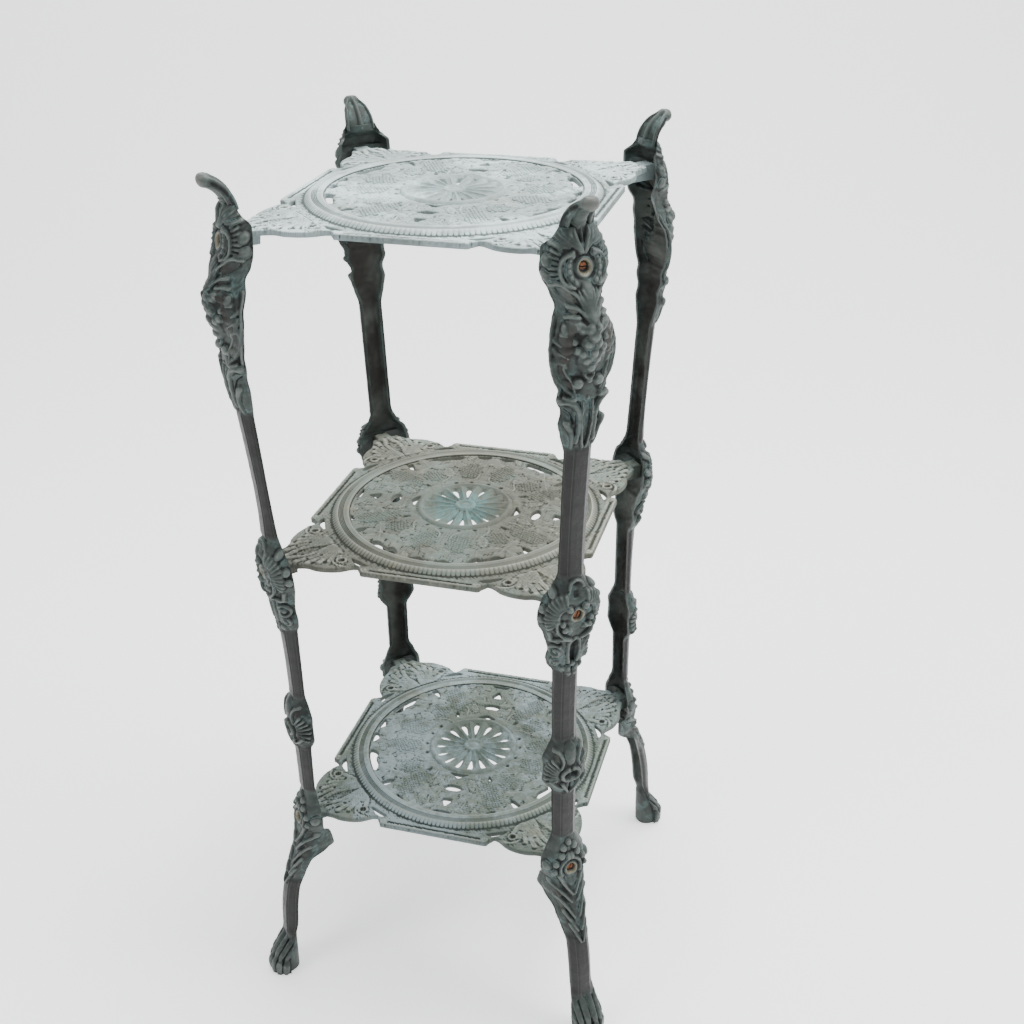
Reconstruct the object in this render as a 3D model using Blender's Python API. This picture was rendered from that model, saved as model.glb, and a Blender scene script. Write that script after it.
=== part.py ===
"""Three-tier cast stand: four open-backed legs, three pierced shelves and twelve slotted screws.

Metres, +Z up, feet on the ground at z = 0, the stand's upright axis at x = y = 0.
Each leg stands on a diagonal of the square shelves.
"""

import math

import bmesh
import bpy
from mathutils import Matrix, Vector
from mathutils.geometry import delaunay_2d_cdt

# Fits shared by every joint
CLEARANCE = 0.0003
CUT_OVERRUN = 0.004

# Heights of the shelves, each measured to the top of its ring
TOP_SHELF_HEIGHT = 0.828
MIDDLE_SHELF_HEIGHT = 0.510
BOTTOM_SHELF_HEIGHT = 0.209

# Shelf: pierced field inside a raised ring, on a square plate
FIELD_RADIUS = 0.115
FIELD_DROP = 0.0020
FIELD_THICKNESS = 0.0045
RING_WIDTH = 0.0108
RING_BAND_WIDTH = 0.0069
CAST_DRAFT = 0.0008
PLATE_DROP = 0.0047
PLATE_THICKNESS = 0.0048

# Rosette in the middle of the field
HUB_RADIUS = 0.0100
HUB_DROP = 0.0006
SLOT_COUNT = 16
SLOT_INNER_RADIUS = 0.0220
SLOT_OUTER_RADIUS = 0.0405
SLOT_INNER_WIDTH = 0.0018
SLOT_OUTER_WIDTH = 0.0062
ROSETTE_RING_RADIUS = 0.0425
ROSETTE_RING_WIDTH = 0.0045
ROSETTE_RING_DROP = 0.0006

# Piercings between the leaves, as shares of the field's radius
# Half outlines, from the mirror line round to the mirror line
INNER_CRESCENT_SHARES = ((0.0, 0.440), (0.055, 0.436), (0.092, 0.438), (0.040, 0.472), (0.0, 0.498))
OVAL_SHARES = ((0.0, 0.596), (0.055, 0.604), (0.090, 0.636), (0.055, 0.668), (0.0, 0.676))
DROP_SHARES = ((0.0, 0.786), (0.052, 0.791), (0.028, 0.848), (0.0, 0.897))
RIM_CRESCENT_SHARES = ((0.0, 0.956), (0.055, 0.961), (0.098, 0.983), (0.0, 0.990))
# Whole outlines, repeated in the four quarters
RIM_LENS_SHARES = ((0.383, 0.914), (0.430, 0.892), (0.476, 0.868), (0.468, 0.850), (0.420, 0.880))
SLANT_SHARES = ((0.622, 0.770), (0.588, 0.729), (0.564, 0.684),
                (0.574, 0.664), (0.644, 0.706), (0.672, 0.727))
LARGE_SHARES = ((0.944, 0.305), (0.908, 0.400), (0.859, 0.496), (0.790, 0.600),
                (0.770, 0.505), (0.822, 0.440), (0.832, 0.360), (0.888, 0.306))
RIM_DROP_SHARES = ((0.989, 0.042), (0.958, 0.050), (0.921, 0.102),
                   (0.950, 0.165), (0.972, 0.186), (0.984, 0.110))
SMALL_GAP_SHARES = ((0.278, 0.392), (0.284, 0.458), (0.330, 0.462))

# Straight bars on the four sides, and the leafy panels between them and the corners
BAR_WIDTH = 0.0097
BAR_HALF_LENGTH = 0.0584
BAR_END_RADIUS = 0.0030
# Shares of the square's half width: along the side, then outwards
PANEL_EDGE_SHARES = ((0.442, 0.928), (0.480, 0.940), (0.545, 0.984),
                     (0.620, 1.006), (0.700, 1.010), (0.775, 0.996))
PANEL_GAP_SHARES = ((0.366, 0.909), (0.415, 0.924), (0.470, 0.901), (0.528, 0.834), (0.447, 0.872))
PANEL_HOLE_PLACE_SHARES = (0.566, 0.893)
PANEL_HOLE_RADIUS = 0.0028
PANEL_HOLE_SIDES = 5
PANEL_END_WIDTH = 0.0280

# Boss at each corner, which the screw enters
BOSS_WIDTH = 0.0160
BOSS_LENGTH = 0.0120
BOSS_TOP_DROP = 0.0028
BOSS_BOTTOM_DROP = 0.0195
SCREW_DROP = 0.0130

# Screws
SCREW_RADIUS = 0.0021
SCREW_GRIP = 0.0080
HEAD_RADIUS = 0.0037
HEAD_THICKNESS = 0.0012
HEAD_CROWN = 0.0008
HEAD_SLOT_WIDTH = 0.0012
HEAD_SLOT_DEPTH = 0.0010
COUNTERBORE_MARGIN = 0.0008
COUNTERBORE_DEPTH = 0.0030
SCREW_SIDES = 8

# Leg line, from the sole up: how far the front surface stands beyond the corner of the square
SOLE_OUT = 0.0350
ANKLE_HEIGHT = 0.062
ANKLE_OUT = 0.0337
SHIN_HEIGHT = 0.112
SHIN_OUT = 0.0275
BEND_DROP = 0.036
BEND_OUT = 0.0105
LOWER_JOINT_OUT = 0.0010
LOWER_COLUMN_RISE = 0.066
LOWER_COLUMN_OUT = -0.0025
MID_COLUMN_DROP = 0.072
MID_COLUMN_OUT = -0.0015
MIDDLE_JOINT_OUT = 0.0045
UPPER_COLUMN_DROP = 0.170
UPPER_COLUMN_OUT = 0.0155
KNEE_DROP = 0.070
KNEE_OUT = 0.0235
UPPER_JOINT_OUT = 0.0140
LEG_TOP_RISE = 0.031
LEG_TOP_OUT = 0.0095

# Leg section: an open channel with its lips towards the stand's axis
COLUMN_WIDTH = 0.0250
COLUMN_DEPTH = 0.0100
SHANK_WIDTH = 0.0235
SHANK_DEPTH = 0.0120
LEG_WALL = 0.0040
LIP_WIDTH = 0.0030
JOINT_WALL = 0.0065
SEAT_HALF_HEIGHT = 0.0090
FRONT_POINTS = 7
BACK_POINTS = 4
STATION_LEAST_STEP = 0.0040

# Carved ornaments on the leg, measured from its joints: DROP and RISE give a place below or above the joint,
# ABOVE and BELOW a swell's reach from its middle, FRONT and BACK how far it stands out,
# WIDTH the full width of its outline and SHOULDER the relief beside the middle
UPPER_SHELL_ABOVE = 0.034
UPPER_SHELL_BELOW = 0.032
UPPER_SHELL_FRONT = 0.0010
UPPER_SHELL_BACK = 0.0080
UPPER_SHELL_WIDTH = 0.0610
UPPER_SHELL_SHOULDER = 0.0028
HORN_BASE_WIDTH = 0.0320
WAIST_DROP = 0.030
WAIST_ABOVE = 0.024
WAIST_BELOW = 0.024
WAIST_FRONT = 0.0060
WAIST_BACK = 0.0050
WAIST_WIDTH = 0.0390
BUD_DROP = 0.051
BUD_ABOVE = 0.022
BUD_BELOW = 0.022
BUD_FRONT = 0.0070
BUD_BACK = 0.0020
KNEE_ABOVE = 0.034
KNEE_BELOW = 0.036
KNEE_FRONT = 0.0030
KNEE_BACK = 0.0010
KNEE_WIDTH = 0.0596
KNEE_SHOULDER = 0.0045
KNEE_LOBE_DROP = 0.108
KNEE_LOBE_ABOVE = 0.014
KNEE_LOBE_BELOW = 0.044
KNEE_LOBE_FRONT = 0.0015
KNEE_LOBE_BACK = 0.0005
KNEE_END_DROP = 0.159
MIDDLE_SHELL_RISE = 0.043
MIDDLE_SHELL_ABOVE = 0.034
MIDDLE_SHELL_BELOW = 0.032
MIDDLE_SHELL_FRONT = 0.0070
MIDDLE_SHELL_BACK = 0.0020
MIDDLE_SHELL_WIDTH = 0.0614
MIDDLE_SHELL_SHOULDER = 0.0030
MIDDLE_LEAF_DROP = 0.040
MIDDLE_LEAF_ABOVE = 0.026
MIDDLE_LEAF_BELOW = 0.036
MIDDLE_LEAF_FRONT = 0.0040
MIDDLE_LEAF_BACK = 0.0010
MIDDLE_LEAF_END_DROP = 0.069
KNOT_END_RISE = 0.160
KNOT_RISE = 0.124
KNOT_START_RISE = 0.090
KNOT_ABOVE = 0.034
KNOT_BELOW = 0.036
KNOT_FRONT = 0.0060
KNOT_BACK = 0.0020
KNOT_WIDTH = 0.0450
KNOT_SHOULDER = 0.0012
LOWER_SHELL_RISE = 0.042
LOWER_SHELL_ABOVE = 0.030
LOWER_SHELL_BELOW = 0.034
LOWER_SHELL_FRONT = 0.0030
LOWER_SHELL_BACK = 0.0030
LOWER_SHELL_WIDTH = 0.0510
LOWER_SHELL_SHOULDER = 0.0024
LOWER_LEAF_DROP = 0.030
LOWER_LEAF_ABOVE = 0.016
LOWER_LEAF_BELOW = 0.052
LOWER_LEAF_FRONT = 0.0010
LOWER_LEAF_BACK = 0.0010
LOWER_LEAF_END_DROP = 0.084
WING_DROP = 0.030
WING_ABOVE = 0.022
WING_BELOW = 0.013
WING_BACK = 0.0180

# Rows of the ornaments' outlines, from the lower end up:
# shares of the height, of the added width and of the shoulders' relief
UPPER_SHELL_ROWS_SHARES = ((0.0, 0.0, 0.0), (0.17, 0.24, 0.3), (0.43, 1.0, 1.0), (0.57, 0.84, 1.0),
                           (0.74, 0.76, 0.6), (0.86, 0.27, 0.3), (1.0, 0.0, 0.0))
KNEE_ROWS_SHARES = ((0.0, 0.0, 0.0), (0.12, 0.20, 0.4), (0.24, 0.38, 0.6), (0.31, 0.24, 0.5),
                    (0.40, 0.50, 0.4), (0.47, 0.40, 0.0), (0.54, 0.72, -0.3), (0.62, 0.93, -0.6),
                    (0.71, 1.0, -0.8), (0.81, 0.86, -0.9), (0.90, 0.44, -0.6), (1.0, 0.0, 0.0))
MIDDLE_SHELL_ROWS_SHARES = ((0.0, 0.0, 0.0), (0.09, 0.32, 0.4), (0.17, 0.42, 0.9), (0.25, 0.33, 1.0),
                            (0.33, 0.46, 1.0), (0.43, 0.66, 1.0), (0.56, 1.0, 1.0), (0.65, 0.97, 1.0),
                            (0.76, 0.78, 0.9), (0.86, 0.28, 0.4), (1.0, 0.0, 0.0))
KNOT_ROWS_SHARES = ((0.0, 0.0, 0.0), (0.12, 0.45, 0.5), (0.27, 1.0, 1.0), (0.47, 0.84, 1.0),
                    (0.63, 0.98, 1.0), (0.79, 0.48, 0.8), (1.0, 0.0, 0.0))
LOWER_SHELL_ROWS_SHARES = ((0.0, 0.0, 0.0), (0.13, 0.20, -0.3), (0.28, 0.45, -0.3), (0.38, 0.60, 0.3),
                           (0.44, 0.83, 0.5), (0.55, 0.68, 0.8), (0.67, 1.0, 1.0), (0.76, 0.90, 0.8),
                           (0.86, 0.48, 0.4), (1.0, 0.0, 0.0))

# Paw foot
SOLE_WIDTH = 0.0330
FOOT_REACH = 0.040
FOOT_FRONT = 0.0185
FOOT_BACK = 0.0010
FOOT_WIDTH = 0.0345
FOOT_SHOULDER = 0.0022
FOOT_ROWS_SHARES = ((0.0, 0.0, 1.0), (0.18, 1.0, 1.0), (0.36, 0.90, 0.6), (0.54, 0.40, 0.2),
                    (0.74, 0.12, 0.4), (1.0, 0.0, 0.0))
FOOT_CLOSED_HEIGHT = 0.0460
FOOT_OPEN_HEIGHT = 0.0640

# Curled finial, a leaf that narrows towards its blunt tip
HORN_LENGTH = 0.0330
HORN_MIDDLE_WIDTH = 0.0250
HORN_TIP_WIDTH = 0.0160
HORN_DEPTH = 0.0135
HORN_TIP_DEPTH = 0.0125
HORN_START_ANGLE = 6.0
HORN_END_ANGLE = 82.0
HORN_STATIONS = 5
HORN_CLOSED_DROP = 0.0060

# Facets
RING_SIDES = 36
RING_TURN_SHARE = 0.5
ROSETTE_SIDES = 24
HUB_SIDES = 12
SHARP_EDGE_ANGLE = 35.0
ROUNDING_SHARE = 1e-6

# Finishes: colour, roughness, metallic
TOP_SHELF_FINISH = ((0.46, 0.53, 0.53), 0.72, 0.15)
MIDDLE_SHELF_FINISH = ((0.38, 0.40, 0.36), 0.74, 0.15)
BOTTOM_SHELF_FINISH = ((0.25, 0.32, 0.29), 0.70, 0.20)
LEG_FINISH = ((0.105, 0.125, 0.115), 0.62, 0.35)
SCREW_FINISH = ((0.30, 0.11, 0.045), 0.80, 0.30)

# Places that follow from the sizes above
RING_OUTER_RADIUS = FIELD_RADIUS + CAST_DRAFT + RING_WIDTH
BAND_OUTER_RADIUS = RING_OUTER_RADIUS + RING_BAND_WIDTH
BAR_REACH = BAND_OUTER_RADIUS + BAR_WIDTH
SQUARE_CORNER = BAR_REACH * math.sqrt(2)
UPPER_JOINT_HEIGHT = TOP_SHELF_HEIGHT - SCREW_DROP
MIDDLE_JOINT_HEIGHT = MIDDLE_SHELF_HEIGHT - SCREW_DROP
LOWER_JOINT_HEIGHT = BOTTOM_SHELF_HEIGHT - SCREW_DROP
LEG_TOP_HEIGHT = UPPER_JOINT_HEIGHT + LEG_TOP_RISE
SHELVES = {
    "top": (UPPER_JOINT_HEIGHT, SQUARE_CORNER + UPPER_JOINT_OUT + UPPER_SHELL_FRONT),
    "middle": (MIDDLE_JOINT_HEIGHT, SQUARE_CORNER + MIDDLE_JOINT_OUT + MIDDLE_SHELL_FRONT),
    "bottom": (LOWER_JOINT_HEIGHT, SQUARE_CORNER + LOWER_JOINT_OUT + LOWER_SHELL_FRONT),
}
CORNERS = {"front_left": (-1, -1), "front_right": (1, -1), "rear_left": (-1, 1), "rear_right": (1, 1)}


def clear_scene():
    for item in list(bpy.data.objects):
        bpy.data.objects.remove(item, do_unlink=True)


def make_material(name, finish):
    colour, roughness, metallic = finish
    material = bpy.data.materials.new(name)
    material.use_nodes = True
    shader = material.node_tree.nodes["Principled BSDF"]
    shader.inputs["Base Color"].default_value = (*colour, 1.0)
    shader.inputs["Roughness"].default_value = roughness
    shader.inputs["Metallic"].default_value = metallic
    return material


def add_object(name, mesh, material=None):
    item = bpy.data.objects.new(name, mesh)
    bpy.context.scene.collection.objects.link(item)
    if material is not None:
        mesh.materials.clear()
        mesh.materials.append(material)
    return item


def mesh_from_faces(name, points, faces):
    shape = bmesh.new()
    corners = [shape.verts.new(point) for point in points]
    for face in faces:
        shape.faces.new([corners[index] for index in face])
    bmesh.ops.recalc_face_normals(shape, faces=shape.faces)
    mesh = bpy.data.meshes.new(name)
    shape.to_mesh(mesh)
    shape.free()
    return mesh


def carve(mesh, cutter_mesh):
    """The mesh with the cutter's shape taken out of it."""
    target = add_object("carved", mesh)
    cutter = add_object("cutter", cutter_mesh)
    cut = target.modifiers.new("cut", "BOOLEAN")
    cut.operation = "DIFFERENCE"
    cut.solver = "EXACT"
    cut.object = cutter
    bpy.context.view_layer.update()
    result = bpy.data.meshes.new_from_object(target.evaluated_get(bpy.context.evaluated_depsgraph_get()))
    bpy.data.objects.remove(target, do_unlink=True)
    bpy.data.objects.remove(cutter, do_unlink=True)
    return result


def loft_faces(rows, size):
    """Faces between closed rows of points, with a face over each end."""
    faces = []
    for first in range(0, (rows - 1) * size, size):
        for step in range(size):
            here = first + step
            after = first + (step + 1) % size
            faces.append((here, after, after + size, here + size))
    faces.append(tuple(range(size)))
    faces.append(tuple((rows - 1) * size + step for step in range(size)))
    return faces


def lathe(profile, sides):
    """Points and faces of a solid turned about the X axis; the profile lists (along, radius)."""
    points = []
    for along, radius in profile:
        for step in range(sides):
            angle = math.tau * step / sides
            points.append((along, radius * math.cos(angle), radius * math.sin(angle)))
    return points, loft_faces(len(profile), sides)


def ramp(stations, place):
    """Straight-line interpolation in a list of (place, value)."""
    if place <= stations[0][0]:
        return stations[0][1]
    for (low, low_value), (high, high_value) in zip(stations, stations[1:]):
        if place <= high:
            return low_value + (high_value - low_value) * (place - low) / (high - low)
    return stations[-1][1]


def smooth_line(stations, place):
    """Smooth interpolation that passes through every (place, value) without overshooting between them."""
    slopes = []
    for index in range(len(stations)):
        before = stations[max(index - 1, 0)]
        after = stations[min(index + 1, len(stations) - 1)]
        here = stations[index]
        slope = (after[1] - before[1]) / (after[0] - before[0])
        if before is not here and after is not here:
            left = (here[1] - before[1]) / (here[0] - before[0])
            right = (after[1] - here[1]) / (after[0] - here[0])
            if left * right <= 0:
                slope = 0
            else:
                slope = math.copysign(min(abs(slope), 2 * abs(left), 2 * abs(right)), left)
        slopes.append(slope)
    place = min(max(place, stations[0][0]), stations[-1][0])
    for index in range(len(stations) - 1):
        low, low_value = stations[index]
        high, high_value = stations[index + 1]
        if place <= high:
            span = high - low
            part = (place - low) / span
            rise = part * part * (3 - 2 * part)
            start = part * (1 - part) ** 2 * span * slopes[index]
            end = part * part * (part - 1) * span * slopes[index + 1]
            return low_value + (high_value - low_value) * rise + start + end
    return stations[-1][1]


# The shelf

def circle(radius, sides, turn_share=0.0):
    """Points round a circle, turned on by a share of one side."""
    angles = [math.tau * (step + turn_share) / sides for step in range(sides)]
    return [(radius * math.cos(angle), radius * math.sin(angle)) for angle in angles]


def mirrored_loop(half):
    """A whole outline from the half that starts and ends on the mirror line x = 0."""
    return list(half) + [(-x, y) for x, y in reversed(half[1:-1])]


def scaled(shares, size):
    return [(x * size, y * size) for x, y in shares]


def field_openings():
    """Every piercing of the field, as outlines."""
    openings = []
    for shares in (INNER_CRESCENT_SHARES, OVAL_SHARES, DROP_SHARES, RIM_CRESCENT_SHARES):
        loop = mirrored_loop(scaled(shares, FIELD_RADIUS))
        openings.append(loop)
        openings.append([(x, -y) for x, y in loop])
    for shares in (RIM_LENS_SHARES, SLANT_SHARES, LARGE_SHARES, RIM_DROP_SHARES, SMALL_GAP_SHARES):
        loop = scaled(shares, FIELD_RADIUS)
        for side in (-1, 1):
            for end in (-1, 1):
                openings.append([(x * side, y * end) for x, y in loop])
    return openings


def rosette_slots():
    """The radiating slots, narrow at the hub and rounded at the rim."""
    slots = []
    middle_radius = (SLOT_INNER_RADIUS + 3 * SLOT_OUTER_RADIUS) / 4
    half_outline = ((SLOT_INNER_RADIUS, SLOT_INNER_WIDTH / 2), (middle_radius, SLOT_OUTER_WIDTH / 2))
    for step in range(SLOT_COUNT):
        angle = math.tau * (step + 0.5) / SLOT_COUNT
        along = Vector((math.cos(angle), math.sin(angle)))
        across = Vector((-along.y, along.x))
        loop = [along * radius + across * half for radius, half in half_outline]
        loop.append(along * SLOT_OUTER_RADIUS)
        loop += [along * radius - across * half for radius, half in reversed(half_outline)]
        slots.append([tuple(point) for point in loop])
    return slots


def to_corner(point, corner):
    """Carries a point of the corner (+1, +1) to another corner of the square."""
    return point[0] * corner[0], point[1] * corner[1]


def diagonal_point(along, across):
    """A point given by its distance along the diagonal and to the left of it."""
    return (along - across) / math.sqrt(2), (along + across) / math.sqrt(2)


def panel_openings():
    """The gap beside each bar's end and the round hole in each scroll."""
    openings = []
    gap = scaled(PANEL_GAP_SHARES, BAR_REACH)
    middle = [share * BAR_REACH for share in PANEL_HOLE_PLACE_SHARES]
    hole = [(middle[0] + x, middle[1] + y) for x, y in circle(PANEL_HOLE_RADIUS, PANEL_HOLE_SIDES)]
    for corner in CORNERS.values():
        for loop in (gap, hole):
            openings.append([to_corner(point, corner) for point in loop])
            openings.append([to_corner((y, x), corner) for x, y in loop])
    return openings


def corner_outline(panel_end, boss_end):
    """Outline of the corner (+1, +1), from the end of its upper bar round to the end of its right bar."""
    reach = BAR_REACH
    end = BAR_HALF_LENGTH
    bevel = BAR_END_RADIUS
    half = [(end - bevel, reach), (end - bevel / 4, reach - bevel / 4), (end, reach - bevel)]
    half += scaled(PANEL_EDGE_SHARES, reach)
    half.append(diagonal_point(panel_end, PANEL_END_WIDTH / 2))
    half.append(diagonal_point(panel_end, BOSS_WIDTH / 2 + CAST_DRAFT))
    half.append(diagonal_point(panel_end, BOSS_WIDTH / 2))
    half.append(diagonal_point(boss_end, BOSS_WIDTH / 2))
    return half + [(y, x) for x, y in reversed(half)]


def shelf_outline(panel_end, boss_end):
    corner = corner_outline(panel_end, boss_end)
    loop = []
    for place, turned in (((1, 1), False), ((1, -1), True), ((-1, -1), False), ((-1, 1), True)):
        points = [to_corner(point, place) for point in corner]
        loop += list(reversed(points)) if turned else points
    return loop


def boss_lines(panel_end, draft):
    """Open outline of the boss on the panel, from one side of the panel's end to the other."""
    half = BOSS_WIDTH / 2 + draft
    back = panel_end - BOSS_LENGTH - draft
    line = [diagonal_point(panel_end, half), diagonal_point(back, half),
            diagonal_point(back, -half), diagonal_point(panel_end, -half)]
    return [[to_corner(point, corner) for point in line] for corner in CORNERS.values()]


def inside(point, loop):
    """Whether a point lies inside a closed outline."""
    found = False
    for (ax, ay), (bx, by) in zip(loop, loop[1:] + loop[:1]):
        if (ay > point[1]) != (by > point[1]) and point[0] < (bx - ax) * (point[1] - ay) / (by - ay) + ax:
            found = not found
    return found


def triangulate(loops, lines, keep):
    """Flat triangles between loops and lines, where keep(middle) says so, and where each point went."""
    points = []
    edges = []
    for chain, closed in [(loop, True) for loop in loops] + [(line, False) for line in lines]:
        first = len(points)
        points += [Vector(point) for point in chain]
        edges += [(first + step, first + step + 1) for step in range(len(chain) - 1)]
        if closed:
            edges.append((first + len(chain) - 1, first))
    scale = FIELD_RADIUS
    result = delaunay_2d_cdt([point / scale for point in points], edges, [], 0, ROUNDING_SHARE)
    flat = [point * scale for point in result[0]]
    middles = [sum((flat[index] for index in face), Vector((0, 0))) / len(face) for face in result[2]]
    faces = [face for face, middle in zip(result[2], middles) if keep(middle)]
    place = {start: index for index, starts in enumerate(result[3]) for start in starts}
    return flat, faces, place


def outer_edges(faces):
    """Directed edges that belong to one face only."""
    found = {(face[step], face[(step + 1) % len(face)]) for face in faces for step in range(len(face))}
    return [edge for edge in found if (edge[1], edge[0]) not in found]


def is_on_boss(point, panel_end):
    """Whether a point lies on the corner boss or on its edge."""
    along = (abs(point[0]) + abs(point[1])) / math.sqrt(2)
    across = abs(abs(point[0]) - abs(point[1])) / math.sqrt(2)
    slack = CAST_DRAFT / 2
    return across < BOSS_WIDTH / 2 + slack and along > panel_end - BOSS_LENGTH - slack


def shelf_top_profile():
    """Depth below the ring's top by distance from the middle."""
    rosette_inner = ROSETTE_RING_RADIUS
    rosette_outer = ROSETTE_RING_RADIUS + ROSETTE_RING_WIDTH
    rosette_middle = (rosette_inner + rosette_outer) / 2
    return [(0.0, HUB_DROP), (HUB_RADIUS, HUB_DROP), (HUB_RADIUS + CAST_DRAFT, FIELD_DROP),
            (rosette_inner, FIELD_DROP), (rosette_middle, ROSETTE_RING_DROP), (rosette_outer, FIELD_DROP),
            (FIELD_RADIUS, FIELD_DROP), (FIELD_RADIUS + CAST_DRAFT, 0.0), (RING_OUTER_RADIUS, 0.0),
            (BAND_OUTER_RADIUS, PLATE_DROP)]


def shelf_bottom_profile():
    """Depth of the underside, which steps down behind the ring."""
    step_start = RING_OUTER_RADIUS - RING_WIDTH / 2
    step_end = BAND_OUTER_RADIUS - RING_BAND_WIDTH / 2
    return [(step_start, FIELD_DROP + FIELD_THICKNESS), (step_end, PLATE_DROP + PLATE_THICKNESS)]


def shelf_mesh(name, panel_end, boss_end):
    """One pierced shelf, with its ring's top at z = 0."""
    top_profile = shelf_top_profile()
    bottom_profile = shelf_bottom_profile()
    holes = field_openings() + rosette_slots() + panel_openings()
    outline = shelf_outline(panel_end, boss_end)
    hub = [circle(radius, HUB_SIDES) for radius, depth in top_profile[1:3]]
    rosette = [circle(radius, ROSETTE_SIDES) for radius, depth in top_profile[3:6]]
    ring = [circle(radius, RING_SIDES, RING_TURN_SHARE) for radius, depth in top_profile[6:]]
    bosses = boss_lines(panel_end, 0.0) + boss_lines(panel_end, CAST_DRAFT)

    def in_metal(middle):
        return inside(middle, outline) and not any(inside(middle, hole) for hole in holes)

    top_points, top_faces, unused = triangulate([outline] + holes + hub + rosette + ring, bosses, in_metal)
    rim = outer_edges(top_faces)
    rim_lines = [[tuple(top_points[start]), tuple(top_points[end])] for start, end in rim]
    steps = [circle(radius, RING_SIDES, RING_TURN_SHARE) for radius, depth in bottom_profile]
    bottom_points, bottom_faces, place = triangulate(steps, rim_lines + bosses, in_metal)

    def top_depth(point):
        if is_on_boss(point, panel_end):
            return BOSS_TOP_DROP
        return ramp(top_profile, point.length)

    def bottom_depth(point):
        if is_on_boss(point, panel_end):
            return BOSS_BOTTOM_DROP
        return ramp(bottom_profile, point.length)

    points = [(point.x, point.y, -top_depth(point)) for point in top_points]
    first = len(points)
    points += [(point.x, point.y, -bottom_depth(point)) for point in bottom_points]
    faces = [tuple(face) for face in top_faces]
    faces += [tuple(first + index for index in reversed(face)) for face in bottom_faces]
    rim_first = sum(len(step) for step in steps)
    for number, (start, end) in enumerate(rim):
        below_start = first + place[rim_first + 2 * number]
        below_end = first + place[rim_first + 2 * number + 1]
        faces.append((end, start, below_start, below_end))
    used = sorted({index for face in faces for index in face})
    renumber = {index: step for step, index in enumerate(used)}
    kept_points = [points[index] for index in used]
    kept_faces = [tuple(renumber[index] for index in face) for face in faces]
    return mesh_from_faces(name, kept_points, kept_faces)


def boss_hole_cutter(boss_end, depth):
    """Blind screw holes for the four corner bosses."""
    points, faces = lathe([(boss_end - depth, SCREW_RADIUS + CLEARANCE),
                           (boss_end + CUT_OVERRUN, SCREW_RADIUS + CLEARANCE)], SCREW_SIDES)
    all_points = []
    all_faces = []
    for corner in CORNERS.values():
        turn = Matrix.Rotation(math.atan2(corner[1], corner[0]), 3, "Z")
        first = len(all_points)
        all_points += [turn @ Vector(point) - Vector((0, 0, SCREW_DROP)) for point in points]
        all_faces += [tuple(first + index for index in face) for face in faces]
    return mesh_from_faces("boss_holes", all_points, all_faces)


# The leg

def leg_joints():
    """Height, seat of the boss and bottom of the counterbore for each of the leg's three joints."""
    return [(height, face - JOINT_WALL, face - COUNTERBORE_DEPTH) for height, face in SHELVES.values()]


def leg_line():
    """Base line of the leg's front surface: (height, distance from the axis)."""
    line = [(0.0, SOLE_OUT), (ANKLE_HEIGHT, ANKLE_OUT), (SHIN_HEIGHT, SHIN_OUT),
            (LOWER_JOINT_HEIGHT - BEND_DROP, BEND_OUT), (LOWER_JOINT_HEIGHT, LOWER_JOINT_OUT),
            (LOWER_JOINT_HEIGHT + LOWER_COLUMN_RISE, LOWER_COLUMN_OUT),
            (MIDDLE_JOINT_HEIGHT - MID_COLUMN_DROP, MID_COLUMN_OUT), (MIDDLE_JOINT_HEIGHT, MIDDLE_JOINT_OUT),
            (UPPER_JOINT_HEIGHT - UPPER_COLUMN_DROP, UPPER_COLUMN_OUT),
            (UPPER_JOINT_HEIGHT - KNEE_DROP, KNEE_OUT), (UPPER_JOINT_HEIGHT, UPPER_JOINT_OUT),
            (LEG_TOP_HEIGHT, LEG_TOP_OUT)]
    return [(height, SQUARE_CORNER + out) for height, out in line]


def leg_swells():
    """Every carved swell: (height of its middle, reach above and below, added front and back)."""
    upper = UPPER_JOINT_HEIGHT
    middle = MIDDLE_JOINT_HEIGHT
    lower = LOWER_JOINT_HEIGHT
    return [(upper, UPPER_SHELL_ABOVE, UPPER_SHELL_BELOW, UPPER_SHELL_FRONT, UPPER_SHELL_BACK),
            (upper - WAIST_DROP, WAIST_ABOVE, WAIST_BELOW, WAIST_FRONT, WAIST_BACK),
            (upper - KNEE_DROP, KNEE_ABOVE, KNEE_BELOW, KNEE_FRONT, KNEE_BACK),
            (upper - BUD_DROP, BUD_ABOVE, BUD_BELOW, BUD_FRONT, BUD_BACK),
            (upper - KNEE_LOBE_DROP, KNEE_LOBE_ABOVE, KNEE_LOBE_BELOW, KNEE_LOBE_FRONT, KNEE_LOBE_BACK),
            (middle, MIDDLE_SHELL_ABOVE, MIDDLE_SHELL_BELOW, MIDDLE_SHELL_FRONT, MIDDLE_SHELL_BACK),
            (middle - MIDDLE_LEAF_DROP, MIDDLE_LEAF_ABOVE, MIDDLE_LEAF_BELOW,
             MIDDLE_LEAF_FRONT, MIDDLE_LEAF_BACK),
            (lower + KNOT_RISE, KNOT_ABOVE, KNOT_BELOW, KNOT_FRONT, KNOT_BACK),
            (lower, LOWER_SHELL_ABOVE, LOWER_SHELL_BELOW, LOWER_SHELL_FRONT, LOWER_SHELL_BACK),
            (lower - LOWER_LEAF_DROP, LOWER_LEAF_ABOVE, LOWER_LEAF_BELOW,
             LOWER_LEAF_FRONT, LOWER_LEAF_BACK),
            (lower - WING_DROP, WING_ABOVE, WING_BELOW, 0.0, WING_BACK),
            (0.0, FOOT_REACH, FOOT_REACH, FOOT_FRONT, FOOT_BACK)]


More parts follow.
